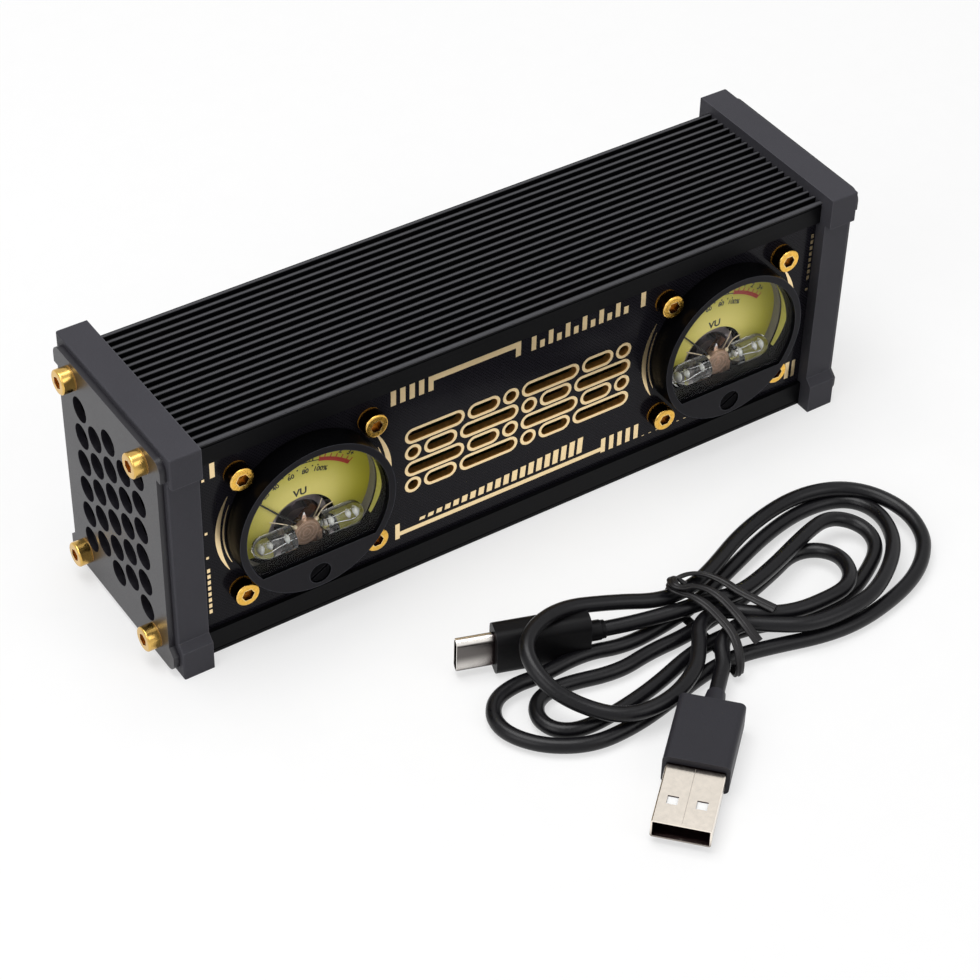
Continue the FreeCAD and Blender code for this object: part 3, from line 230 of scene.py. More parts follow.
# Worn and shining edges: a mask that is 1 along the corners of a piece, broken up by noise; its lighter
# colour is partly wear and partly a painted highlight on the corners.
CORNER_NONE, CORNER_FULL, CORNER_PATCHES, CORNER_LEAST = 0.995, 0.90, 0.9, 0.35
wear_and_shine, given, result = new_effect("edge_wear_and_shine", [("Radius", "Float", 0.0003)], [("Mask", "Float")])
rounded = add(wear_and_shine, "Bevel", {"Radius": given["Radius"]}, samples=4)
agree = add(wear_and_shine, "VectorMath", {0: rounded.outputs[0], 1: add(wear_and_shine, "NewGeometry").outputs["Normal"]},
            operation="DOT_PRODUCT")
corner = add(wear_and_shine, "MapRange", {"Value": agree.outputs["Value"], "From Min": CORNER_NONE, "From Max": CORNER_FULL})
patchy = add(wear_and_shine, "TexNoise", {"Vector": add(wear_and_shine, "TexCoord").outputs["Object"], "Scale": 420})
cover = calc(wear_and_shine, "MULTIPLY_ADD", patchy.outputs["Fac"], CORNER_PATCHES, CORNER_LEAST)
wear_and_shine.links.new(calc(wear_and_shine, "MULTIPLY", corner.outputs["Result"], cover), result["Mask"])


def place_effect(tree, effect, **values):
    """A node group in a material, with its own values; gives its outputs."""
    made = tree.nodes.new("ShaderNodeGroup")
    made.node_tree = effect
    for key, value in values.items():
        made.inputs[key].default_value = value
    return made.outputs


def laid_over(tree, mask, base, colour):
    """The base colour, and another one where the mask is 1."""
    return add(tree, "Mix", {0: mask, 6: base, 7: (*colour, 1)}, data_type="RGBA").outputs[2]


GRAIN_DEPTH = 0.0002


def coated(name, colour, rough, size=2500.0, stretch=(1, 1, 1), shade=0.12, spread=0.05, bump=0.06,
           edge=None, marks=(), dulled=None, **plain):
    """A grained surface; edge is (radius, lighter colour) for worn corners with a painted edge highlight,
    marks are (mask function, colour), and where the dulled mask is 1 a metal has lost its shine."""
    material, tree = shader_tree(name)
    look = place_effect(tree, grain, Colour=(*colour, 1), Shade=shade, Size=size, Stretch=stretch,
                        Roughness=rough, Spread=spread)
    base = look["Colour"]
    if edge:
        base = laid_over(tree, place_effect(tree, wear_and_shine, Radius=edge[0])["Mask"], base, edge[1])
    for mask_of, over in marks:
        base = laid_over(tree, mask_of(tree), base, over)
    relief = add(tree, "Bump", {"Height": look["Height"], "Strength": bump, "Distance": GRAIN_DEPTH})
    shader = add(tree, "BsdfPrincipled", {"Base Color": base, "Roughness": look["Roughness"],
                                          "Normal": relief.outputs[0]})
    for key, value in plain.items():
        shader.inputs[key.replace("_", " ")].default_value = value
    if dulled:
        tree.links.new(calc(tree, "SUBTRACT", 1.0, dulled(tree)), shader.inputs["Metallic"])
    add(tree, "OutputMaterial", {"Surface": shader.outputs[0]})
    return material


def smooth_curve(name, places, per):
    """A smooth curve through the neighbourhood of the given places, with per steps from one to the next."""
    curve = bpy.data.curves.new(name, "CURVE")
    curve.dimensions = "3D"
    curve.resolution_u = per
    run = curve.splines.new("NURBS")
    run.points.add(len(places) - 1)
    for knot, at in zip(run.points, places):
        knot.co = (*at, 1)
    run.order_u = 3
    run.use_endpoint_u = True
    return curve


cord_rubber = coated("cord_rubber", (0.0046, 0.0044, 0.0056), 0.32, size=1800, shade=0.25, spread=0.07,
                     bump=0.05, Specular_IOR_Level=0.26)
line = smooth_curve("lead_cord", CORD_ROUTE, 8)
line.bevel_depth = CORD_D / 2
line.bevel_resolution = 6
line.use_fill_caps = True
line.materials.append(cord_rubber)
lead_cord = bpy.data.objects.new("lead_cord", line)
bpy.context.scene.collection.objects.link(lead_cord)
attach(lead_cord, "root")
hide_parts("lead_hank", "lead_tail")


# ---- USB lead: the tie ----
# A flat wire tie with a black plastic coat, one turn round the waist of the hank.
# Its ends are knotted at the upper left; one lies across the hank, the other stands away to the right.

def shape_of(curve):
    """The points and faces of a curve or a text, which is then thrown away."""
    holder = bpy.data.objects.new("guide", curve)
    mesh = bpy.data.meshes.new_from_object(holder)
    points = [v.co.copy() for v in mesh.vertices]
    faces = [tuple(face.vertices) for face in mesh.polygons]
    bpy.data.objects.remove(holder)
    bpy.data.curves.remove(curve)
    bpy.data.meshes.remove(mesh)
    return points, faces


def smooth_line(places, per=10):
    """Points along a smooth curve; places are in millimetres."""
    return shape_of(smooth_curve("guide", in_metres(places), per))[0]


def tube_faces(rings, count):
    """Faces between rings of count points, and the two caps."""
    last = (rings - 1) * count
    faces = [(i + k, i + (k + 1) % count, i + (k + 1) % count + count, i + k + count)
             for i in range(0, last, count) for k in range(count)]
    return faces + [tuple(range(count - 1, -1, -1)), tuple(range(last, last + count))]


def sweep(points, profile, facing):
    """A strip along a line: profile is (across, out) pairs, facing gives the outward side at a point."""
    verts = []
    last = len(points) - 1
    for i, point in enumerate(points):
        ahead = (points[min(i + 1, last)] - points[max(i - 1, 0)]).normalized()
        side = ahead.cross(facing(point)).normalized()
        out_way = side.cross(ahead).normalized()
        verts += [point + side * a + out_way * b for a, b in profile]
    return verts, tube_faces(len(points), len(profile))


TIE_PROFILE = in_metres([
    (-1.064, -0.115), (-0.896, -0.299), (-0.336, -0.345), (0.336, -0.345), (0.896, -0.299), (1.064, -0.115),
    (1.064, 0.115), (0.896, 0.276), (0.3584, 0.253), (0.1792, 0.460), (-0.1792, 0.460), (-0.3584, 0.253),
    (-0.896, 0.276), (-1.064, 0.115)])
WAIST_Y, WAIST_Z, WAIST_SIDEWAYS = -0.0715, 0.0045, 0.35
TIE_TURNS = {
    "lead_tie_turn_1": [
        (24.9, -77.7, 8.2), (23.0, -73.8, 8.6), (21.2, -69.8, 9.0), (20.3, -66.0, 9.2), (18.5, -62.8, 9.4),
        (15.8, -60.9, 9.6), (12.8, -60.6, 9.8), (11.2, -60.1, 8.4), (10.9, -59.6, 5.0), (11.4, -60.0, 1.8),
        (12.8, -64.0, 0.6), (13.0, -74.0, 0.6), (12.0, -82.5, 0.7), (11.1, -84.5, 2.0), (11.6, -84.0, 4.6),
        (12.3, -82.0, 7.2), (13.0, -78.7, 8.6), (13.0, -74.8, 9.2), (12.9, -70.4, 9.5), (11.8, -67.3, 10.0),
        (9.8, -65.7, 10.6), (8.6, -63.8, 11.0), (9.4, -62.0, 10.8), (11.2, -61.3, 10.2)],
    "lead_tie_turn_2": [
        (12.8, -63.0, 9.6), (11.6, -61.2, 10.6), (9.8, -61.6, 11.6), (9.0, -63.8, 11.9),
        (10.2, -65.2, 11.6), (12.0, -65.0, 11.0), (14.0, -65.5, 10.4), (15.8, -67.3, 10.0),
        (16.8, -70.3, 9.4), (16.8, -74.6, 9.1), (16.7, -78.8, 8.4), (17.4, -82.2, 6.4)],
}


def away_from_waist(point):
    return Vector((0, (point.y - WAIST_Y) * WAIST_SIDEWAYS, point.z - WAIST_Z)).normalized()


tie_plastic = coated("tie_plastic", (0.0080, 0.0072, 0.0080), 0.40, size=1400, shade=0.3, spread=0.10,
                     bump=0.12, Specular_IOR_Level=0.30)
for tie_name, places in TIE_TURNS.items():
    verts, faces = sweep(smooth_line(places), TIE_PROFILE, away_from_waist)
    turn = mesh_piece(tie_name, verts, faces, tie_plastic, smooth=50)
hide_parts("lead_tie")


# ---- USB lead: the plugs ----
# Black moulded grips hold nickel-plated steel shells. The small plug lies on its narrow edge.
# A short stepped neck guards the cord at the small plug, and a round one at the large plug.

def dress(names, material):
    """Puts a finish on solids of the part."""
    for name in names:
        for place_for in node[name].material_slots:
            place_for.material = material


def object_axes(tree, of="Object"):
    """X, Y and Z of a place in the part's frame, or with "Normal" of the way that a face looks."""
    apart = add(tree, "SeparateXYZ", {0: add(tree, "TexCoord").outputs[of]}).outputs
    return apart["X"], apart["Y"], apart["Z"]


def faded(tree, value, none, full):
    """0 where the value is at none and 1 at full, with a soft change between."""
    return add(tree, "MapRange", {"Value": value, "From Min": none, "From Max": full},
               interpolation_type="SMOOTHSTEP").outputs["Result"]


grip_plastic = coated("grip_plastic", (0.022, 0.0215, 0.027), 0.46, size=5200, shade=0.16, spread=0.05,
                      bump=0.22, edge=(0.0003, (0.040, 0.039, 0.046)), Specular_IOR_Level=0.20)
# The small plug's grip and neck: the same plastic made darker, painted shade for the shadow of the hank it
# lies in.
shaded_grip_plastic = coated("shaded_grip_plastic", (0.0042, 0.0040, 0.0046), 0.40, size=5200, shade=0.16,
                            spread=0.05, bump=0.20, edge=(0.0003, (0.020, 0.019, 0.024)),
                            Specular_IOR_Level=0.12)

# Deep corners: a mask from ambient occlusion that is 1 in sockets, mouths and the roots of steps, where shade
# and light get painted.
deep, given, result = new_effect("deep_corners", [("Reach", "Float", 0.0013), ("Open", "Float", 0.72),
                                                  ("Deep", "Float", 0.38)], [("Mask", "Float")])
closed_in = add(deep, "AmbientOcclusion", {"Distance": given["Reach"]}, samples=8)
deep.links.new(faded(deep, closed_in.outputs["AO"], given["Open"], given["Deep"]), result["Mask"])

REFLECTION_FROM, REFLECTION_FULL, REFLECTION_COVER = 0.0018, 0.0062, 0.92
UPRIGHT_NONE, UPRIGHT_FULL = -0.80, -0.93


def shaded_shell_mouth(tree):
    """Painted shade in the mouth and the deep corners of a shell."""
    return place_effect(tree, deep, Reach=0.0060, Open=0.88, Deep=0.62)["Mask"]


def dark_reflected_side(tree):
    """A painted dark reflection on the upright side of a shell that lies on its edge, darker towards the top.
    """
    side_face = faded(tree, object_axes(tree, "Normal")[1], UPRIGHT_NONE, UPRIGHT_FULL)
    reflected_dark = calc(tree, "MULTIPLY", faded(tree, object_axes(tree)[2], REFLECTION_FROM, REFLECTION_FULL), REFLECTION_COVER)
    return calc(tree, "MULTIPLY", side_face, reflected_dark)


nickel = coated("nickel_plate", (0.95, 0.87, 0.77), 0.20, size=900, stretch=(1, 1, 5), shade=0.05,
                spread=0.06, bump=0.03, marks=[(shaded_shell_mouth, (0.035, 0.020, 0.020))], Metallic=1.0)
# The small plug's shell: a painted dark reflection on its upright side and painted highlights on its edges.
nickel_dark_reflected = coated("nickel_dark_reflected", (0.93, 0.89, 0.84), 0.22, size=900, stretch=(1, 1, 5), shade=0.05,
                       spread=0.06, bump=0.03, edge=(0.0003, (1.0, 0.98, 0.94)),
                       marks=[(dark_reflected_side, (0.060, 0.052, 0.050)), (shaded_shell_mouth, (0.035, 0.025, 0.025))],
                       Metallic=1.0)
tongue_plastic = coated("tongue_plastic", (0.93, 0.93, 0.92), 0.5, size=2600, shade=0.05, bump=0.04)
dress(["usb_c_grip"], shaded_grip_plastic)
dress(["usb_a_grip"], grip_plastic)
dress(["usb_c_shell"], nickel_dark_reflected)
dress(["usb_a_shell"], nickel)
dress(["usb_a_tongue"], tongue_plastic)


def turned(stations, centre, along, count=32):
    """A body of revolution: stations are (distance along the axis, radius)."""
    way = Vector(along).normalized()
    side = way.orthogonal().normalized()
    other = way.cross(side)
    turns = [2 * math.pi * k / count for k in range(count)]
    verts = [Vector(centre) + way * at + (side * math.cos(a) + other * math.sin(a)) * r
             for at, r in stations for a in turns]
    return verts, tube_faces(len(stations), count)


SMALL_PLUG_TURN, LARGE_PLUG_TURN = math.radians(-18.4), math.radians(43.0)
NECK = in_metres([(-0.2, 2.20), (2.6, 2.15), (2.8, 2.00), (3.6, 1.95), (3.7, 1.75)])
verts, faces = turned(NECK, CORD_ROUTE[0], (math.cos(SMALL_PLUG_TURN), math.sin(SMALL_PLUG_TURN), 0))
small_neck = mesh_piece("small_plug_neck", verts, faces, shaded_grip_plastic, smooth=35)

LARGE_PLUG_TIP = Vector((-0.0257, -0.1141, 0.00625))
LARGE_PLUG_WAY = Vector((math.cos(LARGE_PLUG_TURN), math.sin(LARGE_PLUG_TURN), 0))
SEAM_PROFILE = in_metres([(-0.04, -0.02), (0.04, -0.02), (0.04, 0.012), (-0.04, 0.012)])
seam_points = [LARGE_PLUG_TIP + LARGE_PLUG_WAY * (d * MM) for d in (0.5, 3, 6, 9, 12, 15.2)]
verts, faces = sweep(seam_points, SEAM_PROFILE, lambda point: Vector((0, 0, 1)))
seam_metal = coated("seam_metal", (0.50, 0.44, 0.38), 0.4, size=3000, shade=0.2, Metallic=1.0)
seam = mesh_piece("large_plug_seam", verts, faces, seam_metal)


# ---- ribbed extrusions ----
# Top and base are extruded aluminium, bead blasted and black anodised.
# Faint draw lines run along the ribs, and a painted highlight lightens the rib crowns and the front edge of
# the top, where the overhead light falls.

RIB_PITCH, RIB_WIDTH = 0.0022, 0.0010
CROWN_DEPTH, CROWN_EDGE, CROWN_FULL = 0.0001, 0.195, 0.06
FRONT_BAND, FRONT_BAND_DROP = 0.0006, 0.00035
EXTRUSION_FRONT = min(corner[1] for corner in node["top_extrusion"].bound_box)
RIB_TOP = max(corner[2] for corner in node["top_extrusion"].bound_box)


def off_line(tree, value, pitch, line=0.5):
    """How far a value is from the line that repeats at a pitch; this and the line are shares of the pitch."""
    turn = calc(tree, "FRACT", calc(tree, "DIVIDE", value, pitch))
    return calc(tree, "ABSOLUTE", calc(tree, "SUBTRACT", turn, line))


def rib_top_highlights(tree):
    """Painted highlight on the crown of each rib and on the front edge of the top, where the overhead light
    falls.
    """
    _, y, z = object_axes(tree)
    off = off_line(tree, calc(tree, "SUBTRACT", y, EXTRUSION_FRONT), RIB_PITCH, RIB_WIDTH / RIB_PITCH / 2)
    crown = calc(tree, "MULTIPLY", faded(tree, off, CROWN_EDGE, CROWN_FULL),
                 calc(tree, "GREATER_THAN", z, RIB_TOP - CROWN_DEPTH))
    band = calc(tree, "MULTIPLY", calc(tree, "LESS_THAN", y, EXTRUSION_FRONT + FRONT_BAND),
                calc(tree, "GREATER_THAN", z, RIB_TOP - FRONT_BAND_DROP))
    return calc(tree, "MAXIMUM", crown, band)


anodised = coated("black_anodised", (0.0030, 0.0030, 0.0036), 0.42, size=420, stretch=(0.06, 6, 6),
                  shade=0.22, spread=0.06, bump=0.10, marks=[(rib_top_highlights, (0.070, 0.070, 0.076))],
                  Specular_IOR_Level=0.07)
dress(["top_extrusion", "base_extrusion"], anodised)


# ---- end frames and end plates ----
# The frames are matt moulded plastic with a very fine texture and slightly lighter corners, a painted
# highlight.
# The vented plates are black lacquered board, smoother, with a faint violet sheen.

def pair_of(name):
    return [f"left_{name}", f"right_{name}"]


frame_plastic = coated("frame_plastic", (0.051, 0.050, 0.058), 0.50, size=6500, shade=0.14, spread=0.05,
                       bump=0.30, edge=(0.00035, (0.100, 0.098, 0.112)), Specular_IOR_Level=0.07)
dress(pair_of("end_frame"), frame_plastic)
plate_lacquer = coated("plate_lacquer", (0.011, 0.010, 0.014), 0.36, size=3400, shade=0.12, spread=0.06,
                       bump=0.08, edge=(0.00025, (0.045, 0.042, 0.050)), Specular_IOR_Level=0.40,
                       Coat_Weight=0.04, Coat_Roughness=0.3)
dress(pair_of("end_plate"), plate_lacquer)


# ---- screws, nuts and pillars ----
# M3 socket screws, pillars and nuts are turned brass with a bright gold colour.
# The sockets are painted dull orange for their shade and the gold they reflect inside, the sides of the front
# screws' heads are painted dark for the dark case they reflect, and the rims carry a painted highlight.

# Side faces: a mask that is 1 where a face looks neither to the front nor to the back.
sides, given, result = new_effect("side_faces", [("Front", "Float", 0.7), ("Side", "Float", 0.5)],
                                  [("Mask", "Float")])
to_front = calc(sides, "ABSOLUTE", object_axes(sides, "Normal")[1])
sides.links.new(faded(sides, to_front, given["Front"], given["Side"]), result["Mask"])


def socket_shade_and_glow(tree):
    """Painted shade and painted reflected gold in the sockets and other deep corners, a dull orange."""
    return place_effect(tree, deep, Reach=0.0013, Open=0.72, Deep=0.38)["Mask"]


# Painted dark reflection on the sides of the front screws' heads.
def dark_reflected_head_sides(tree):
    return place_effect(tree, sides, Front=0.42, Side=0.22)["Mask"]


end_brass = coated("end_brass", (0.70, 0.44, 0.12), 0.20, size=2600, stretch=(6, 0.15, 0.15), shade=0.14,
                   spread=0.06, bump=0.06, edge=(0.00022, (1.0, 0.84, 0.46)),
                   marks=[(socket_shade_and_glow, (0.60, 0.26, 0.035))], dulled=socket_shade_and_glow, Metallic=1.0)
front_brass = coated("front_brass", (0.80, 0.46, 0.080), 0.22, size=1500, stretch=(1, 2, 1), shade=0.30,
                     spread=0.10, bump=0.22, edge=(0.00036, (1.0, 0.88, 0.52)),
                     marks=[(dark_reflected_head_sides, (0.035, 0.018, 0.006)), (socket_shade_and_glow, (0.96, 0.43, 0.050))],
                     dulled=socket_shade_and_glow, Metallic=1.0)
dress(pair_of("end_screws"), end_brass)
dress(pair_of("meter_screws") + pair_of("meter_standoffs") + ["meter_nuts"], front_brass)


# ---- front panel ----
# A board with gloss black lacquer over hatched copper, so fine crossed lines show faintly.
# The slots are milled through and ringed with gold-plated copper.

HATCH_PITCH, HATCH_EDGE, HATCH_FULL = 0.00058, 0.22, 0.34
panel_lacquer, tree = shader_tree("panel_lacquer")
x, _, z = object_axes(tree)
copper_lines = []
for sign in ("ADD", "SUBTRACT"):
    ridge = off_line(tree, calc(tree, sign, x, z), HATCH_PITCH * math.sqrt(2))
    copper_lines.append(faded(tree, ridge, HATCH_EDGE, HATCH_FULL))
hatch = calc(tree, "MAXIMUM", *copper_lines)
look = place_effect(tree, grain, Colour=(0.0036, 0.0036, 0.0054, 1), Shade=0.3, Size=1500.0, Roughness=0.13,
                    Spread=0.04)
rise = calc(tree, "MULTIPLY_ADD", hatch, 0.5, look["Height"])
relief = add(tree, "Bump", {"Height": rise, "Strength": 0.05, "Distance": 0.0001})
shader = add(tree, "BsdfPrincipled", {
    "Base Color": laid_over(tree, hatch, look["Colour"], (0.0120, 0.0110, 0.0145)),
    "Roughness": look["Roughness"], "Normal": relief.outputs[0], "Specular IOR Level": 0.09, "IOR": 1.45})
add(tree, "OutputMaterial", {"Surface": shader.outputs[0]})
dress(["front_panel", "rear_panel"], panel_lacquer)

PANEL_Y = -19.3
PRINT_RISE, PRINT_SUNK = 0.045, 0.01
gold_plate = coated("gold_plate", (1.0, 0.77, 0.44), 0.30, size=1600, shade=0.05, spread=0.03, bump=0.02,
                    Metallic=0.9)
slot_gold = coated("slot_gold", (0.55, 0.30, 0.085), 0.42, size=1500, shade=0.30, spread=0.10, bump=0.12,
                   Metallic=0.9)


def flat_shapes(name, outlines, y_front, y_back, material, holes=None):
    """Flat shapes in X and Z, millimetres, as thin plates between two depths; holes are inner outlines."""
    verts, faces = [], []
    for i, outline in enumerate(outlines):
        n = len(outline)
        a = len(verts)
        b = a + 2 * n
        for ring in ([outline, holes[i]] if holes else [outline]):
            verts += in_metres([(x, y_front, z) for x, z in ring] + [(x, y_back, z) for x, z in ring])
        if holes:
            for k in range(n):
                m = (k + 1) % n
                faces += [(a + k, a + m, b + m, b + k), (a + n + m, a + n + k, b + n + k, b + n + m),
                          (a + m, a + k, a + n + k, a + n + m), (b + k, b + m, b + n + m, b + n + k)]
        else:
            faces.append(tuple(range(a, a + n)))
            faces.append(tuple(range(a + 2 * n - 1, a + n - 1, -1)))
            faces += [(a + (k + 1) % n, a + k, a + n + k, a + n + (k + 1) % n) for k in range(n)]
    piece = mesh_piece(name, verts, faces, material)
    clean = bmesh.new()
    clean.from_mesh(piece.data)
    bmesh.ops.recalc_face_normals(clean, faces=clean.faces)
    clean.to_mesh(piece.data)
    clean.free()
    return piece


def stadium(cx, cz, half_length, r, steps=14):
    """A slot's outline: two half circles of radius r joined by straight sides."""
    reach = max(half_length - r, 0)
    ring = []
    for end in (1, -1):
        for k in range(steps + 1):
            a = math.pi * k / steps - math.pi / 2
            ring.append((cx + end * (reach + r * math.cos(a)), cz + end * r * math.sin(a)))
    return ring


SLOT_LENGTHS = [14.6, 8.1, 4.0] * 2
SLOT_GAP, SLOT_RIM, SLOT_OPENING = 0.7, 0.7, 2.6
PANEL_THICK, LINING = 1.6, 0.06
SLOT_PITCH, SLOT_MIDDLE, SLOT_ROWS = 4.4, 29.5, 4
rims, mouths, linings = [], [], []
for row in range(SLOT_ROWS):
    lengths = SLOT_LENGTHS if row % 2 == 0 else SLOT_LENGTHS[::-1]
    left = -(sum(lengths) + SLOT_GAP * (len(lengths) - 1)) / 2
    high = SLOT_MIDDLE + ((SLOT_ROWS - 1) / 2 - row) * SLOT_PITCH
    for length in lengths:
        middle = left + length / 2
        rims.append(stadium(middle, high, length / 2, SLOT_OPENING / 2 + SLOT_RIM))
        mouths.append(stadium(middle, high, length / 2 - SLOT_RIM, SLOT_OPENING / 2))
        linings.append(stadium(middle, high, length / 2 - SLOT_RIM - LINING, SLOT_OPENING / 2 - LINING))
        left += length + SLOT_GAP
flat_shapes("slot_rims", rims, PANEL_Y - PRINT_RISE, PANEL_Y + PRINT_SUNK, gold_plate, holes=mouths)
flat_shapes("slot_linings", mouths, PANEL_Y + PRINT_SUNK, PANEL_Y + PANEL_THICK, slot_gold,
            holes=linings)


def block(x0, x1, z0, z1):
    return [(x0, z0), (x1, z0), (x1, z1), (x0, z1)]


def leaning(x, z0, z1, width, lean):
    return [(x, z0), (x + width, z0), (x + width + lean, z1), (x + lean, z1)]


CRESCENT_TAPER, CRESCENT_TIP = 0.8, 0.05


def crescent(cx, r, low_deg, high_deg, width, steps=28):
    """A tapering arc round a meter; angles are measured from +X towards +Z."""
    ring = []
    for outer in (True, False):
        for k in range(steps + 1):
            t = k / steps if outer else 1 - k / steps
            a = math.radians(low_deg + (high_deg - low_deg) * t)
            w = width * (math.sin(math.pi * t) ** CRESCENT_TAPER) / 2 + CRESCENT_TIP
            reach = r + (w if outer else -w)
            ring.append((cx + reach * math.cos(a), METER_Z + reach * math.sin(a)))
    return ring


METER_X, METER_Z = 52.3, 29.8
METERS = (("left", -METER_X), ("right", METER_X))
ART_TOP, ART_LOW = 49.9, 46.1
# Above the slots: four bars, a bracket, a comb of bars and a last bar.
art = [block(-31.8 + 2.24 * k, -30.55 + 2.24 * k, ART_LOW, ART_TOP) for k in range(4)]
art += [block(-22.8, -21.6, ART_LOW, ART_TOP), block(-21.6, -1.5, 48.45, ART_TOP),
        block(-1.5, -0.25, ART_LOW, ART_TOP), block(30.2, 31.4, ART_LOW, ART_TOP)]
art += [block(2.4 + 2.13 * k, 3.55 + 2.13 * k, ART_LOW, 48.0 if k % 2 else 49.7) for k in range(12)]
# Below the slots: a long rule with its end mark, a rising row of bars, five bars and a dotted line.
art += [block(-30.8, 21.9, 10.1, 11.2), block(-30.8, -29.7, 9.4, 10.1), block(-30.8, -29.7, 11.2, 13.6)]
art += [leaning(-24.9 + 2.12 * k, 12.1, 12.9 + 0.185 * k, 1.35, 0.25) for k in range(20)]
art += [block(21.9 + 2.2 * k, 23.05 + 2.2 * k, 9.6, 13.5) for k in range(5)]
art += [block(33.0 + 1.9 * k, 33.6 + 1.9 * k, 9.40, 9.55) for k in range(7)]
# At the left edge and at the right edge: bars and rows of dots.
art += [block(-73.3, -72.2, ART_LOW, ART_TOP)]
art += [block(-75.2, -74.6, z - 0.3, z + 0.3) for z in (46.2, 32.3, 25.8)]
art += [block(-75.2, -74.5, 10.6 + 1.6 * k, 11.6 + 1.6 * k) for k in range(8)]
art += [block(75.9, 76.6, 35.3 + 1.6 * k, 36.3 + 1.6 * k) for k in range(8)]
art += [block(75.9, 76.6, 32.2, 32.8), block(72.7, 73.8, 8.5, 13.1), block(74.6, 75.5, 8.5, 13.1)]
# Round each meter: a wide and a thin crescent at both sides.
for _, cx in METERS:
    art += [crescent(cx, 20.1, 150, 208, 1.0), crescent(cx, 20.1, -20, 33, 1.05)]
    art += [crescent(cx, 18.8, 156, 204, 0.28), crescent(cx, 18.8, -24, 22, 0.30)]
flat_shapes("panel_artwork", art, PANEL_Y - PRINT_RISE, PANEL_Y + PRINT_SUNK, gold_plate)


# ---- boards and rear fittings ----
# Green boards with a soft lacquer sheen carry black parts and nickel-plated sockets.
# The gain knob is fluted black plastic on a turned steel shaft.

board_lacquer = coated("board_lacquer", (0.012, 0.075, 0.030), 0.32, size=900, shade=0.20, spread=0.06,
                       bump=0.05, edge=(0.0002, (0.16, 0.17, 0.08)))
dress(["main_board"] + pair_of("meter_board"), board_lacquer)
moulded_black = coated("moulded_black", (0.018, 0.018, 0.019), 0.45, size=3800, shade=0.15, bump=0.12,
                       edge=(0.0002, (0.05, 0.05, 0.053)))
dress(["board_parts", "line_in_jack"], moulded_black)
dress(["usb_c_inlet", "gain_pot"], nickel)
knob_plastic = coated("knob_plastic", (0.014, 0.014, 0.015), 0.36, size=5200, shade=0.15, bump=0.16,
                      edge=(0.00025, (0.05, 0.05, 0.054)))
dress(["gain_knob"], knob_plastic)
turned_steel = coated("turned_steel", (0.62, 0.62, 0.63), 0.22, size=2400, stretch=(0.2, 6, 0.2), shade=0.10,
                      spread=0.06, bump=0.05, Metallic=1.0)
dress(["gain_shaft"] + pair_of("pivot_shaft"), turned_steel)


# ---- meter bezels, cups and lenses ----
# Bezel and cup are satin black plastic; the cover below the dial is one piece with the ring.
# The lens is a flat clear acrylic sheet, cut off level above the cover.

def ring_walls(tree):
    """The walls of the ring, inside and outside, which little light reaches."""
    return place_effect(tree, sides)["Mask"]


# The ring's lighter corners are a painted highlight, and its walls carry painted shade.
bezel_plastic = coated("bezel_plastic", (0.0175, 0.0168, 0.0198), 0.30, size=4200, shade=0.12, spread=0.05,
                       bump=0.05, edge=(0.0003, (0.080, 0.084, 0.100)),
                       marks=[(ring_walls, (0.0015, 0.0015, 0.0018))], Specular_IOR_Level=0.05)
cup_plastic = coated("cup_plastic", (0.002, 0.002, 0.0024), 0.45, size=4200, shade=0.12, bump=0.06,
                     Specular_IOR_Level=0.12)
dress(pair_of("meter_bezel"), bezel_plastic)
dress(pair_of("meter_cup"), cup_plastic)

# Inside the ring lie a frosted light ring round the dial and, before it at one side, a yellow band: a painted
# reflection of the dial in the ring's inner wall.
BEZEL_INNER_R, RING_CLEARANCE = 16.6, 0.02
LIGHT_RING_FRONT, LIGHT_RING_BACK, LIGHT_RING_THICK = -19.5, -17.55, 0.25
BAND_BACK, BAND_REACH, BAND_THICK, BAND_LOW, BAND_HIGH = -20.0, 1.8, 0.06, -29, 34
frosted_ring = coated("frosted_ring", (0.19, 0.175, 0.14), 0.45, size=1800, shade=0.25, spread=0.10,
                      bump=0.10)
dial_reflection_band = coated("dial_reflection_band", (0.56, 0.52, 0.12), 0.16, size=1200, shade=0.18, spread=0.05, bump=0.02)


def circle(cx, r, count=96):
    turns = [math.tau * k / count for k in range(count)]
    return [(cx + r * math.cos(a), METER_Z + r * math.sin(a)) for a in turns]


def reflection_crescent(name, cx, steps=30):
    """A painted reflection of the dial: a strip on the bezel's inner wall that narrows to nothing at its
    upper end.
    """
    outer = BEZEL_INNER_R - RING_CLEARANCE
    places, faces = [], []
    for k in range(steps + 1):
        t = k / steps
        a = math.radians(BAND_LOW + (BAND_HIGH - BAND_LOW) * t)
        reach = BAND_REACH * min(1.0, 0.45 + 1.4 * t, 1.75 * (1.02 - t))
        places += [(cx + r * math.cos(a), y, METER_Z + r * math.sin(a))
                   for r in (outer, outer - BAND_THICK) for y in (BAND_BACK, BAND_BACK - reach)]
    for k in range(steps):
        a, b = 4 * k, 4 * k + 4
        faces += [(a, b, b + 1, a + 1), (a + 1, b + 1, b + 3, a + 3), (a + 3, b + 3, b + 2, a + 2),
                  (a + 2, b + 2, b, a)]
    faces += [(0, 1, 3, 2), (4 * steps + 2, 4 * steps + 3, 4 * steps + 1, 4 * steps)]
    return mesh_piece(name, in_metres(places), faces, dial_reflection_band)


for side, cx in METERS:
    ring_r = BEZEL_INNER_R - RING_CLEARANCE
    flat_shapes(f"{side}_light_ring", [circle(cx, ring_r)], LIGHT_RING_FRONT, LIGHT_RING_BACK, frosted_ring,
                holes=[circle(cx, ring_r * (1 - LIGHT_RING_THICK / BEZEL_INNER_R))])
    reflection_crescent(f"{side}_dial_reflection_band", cx)


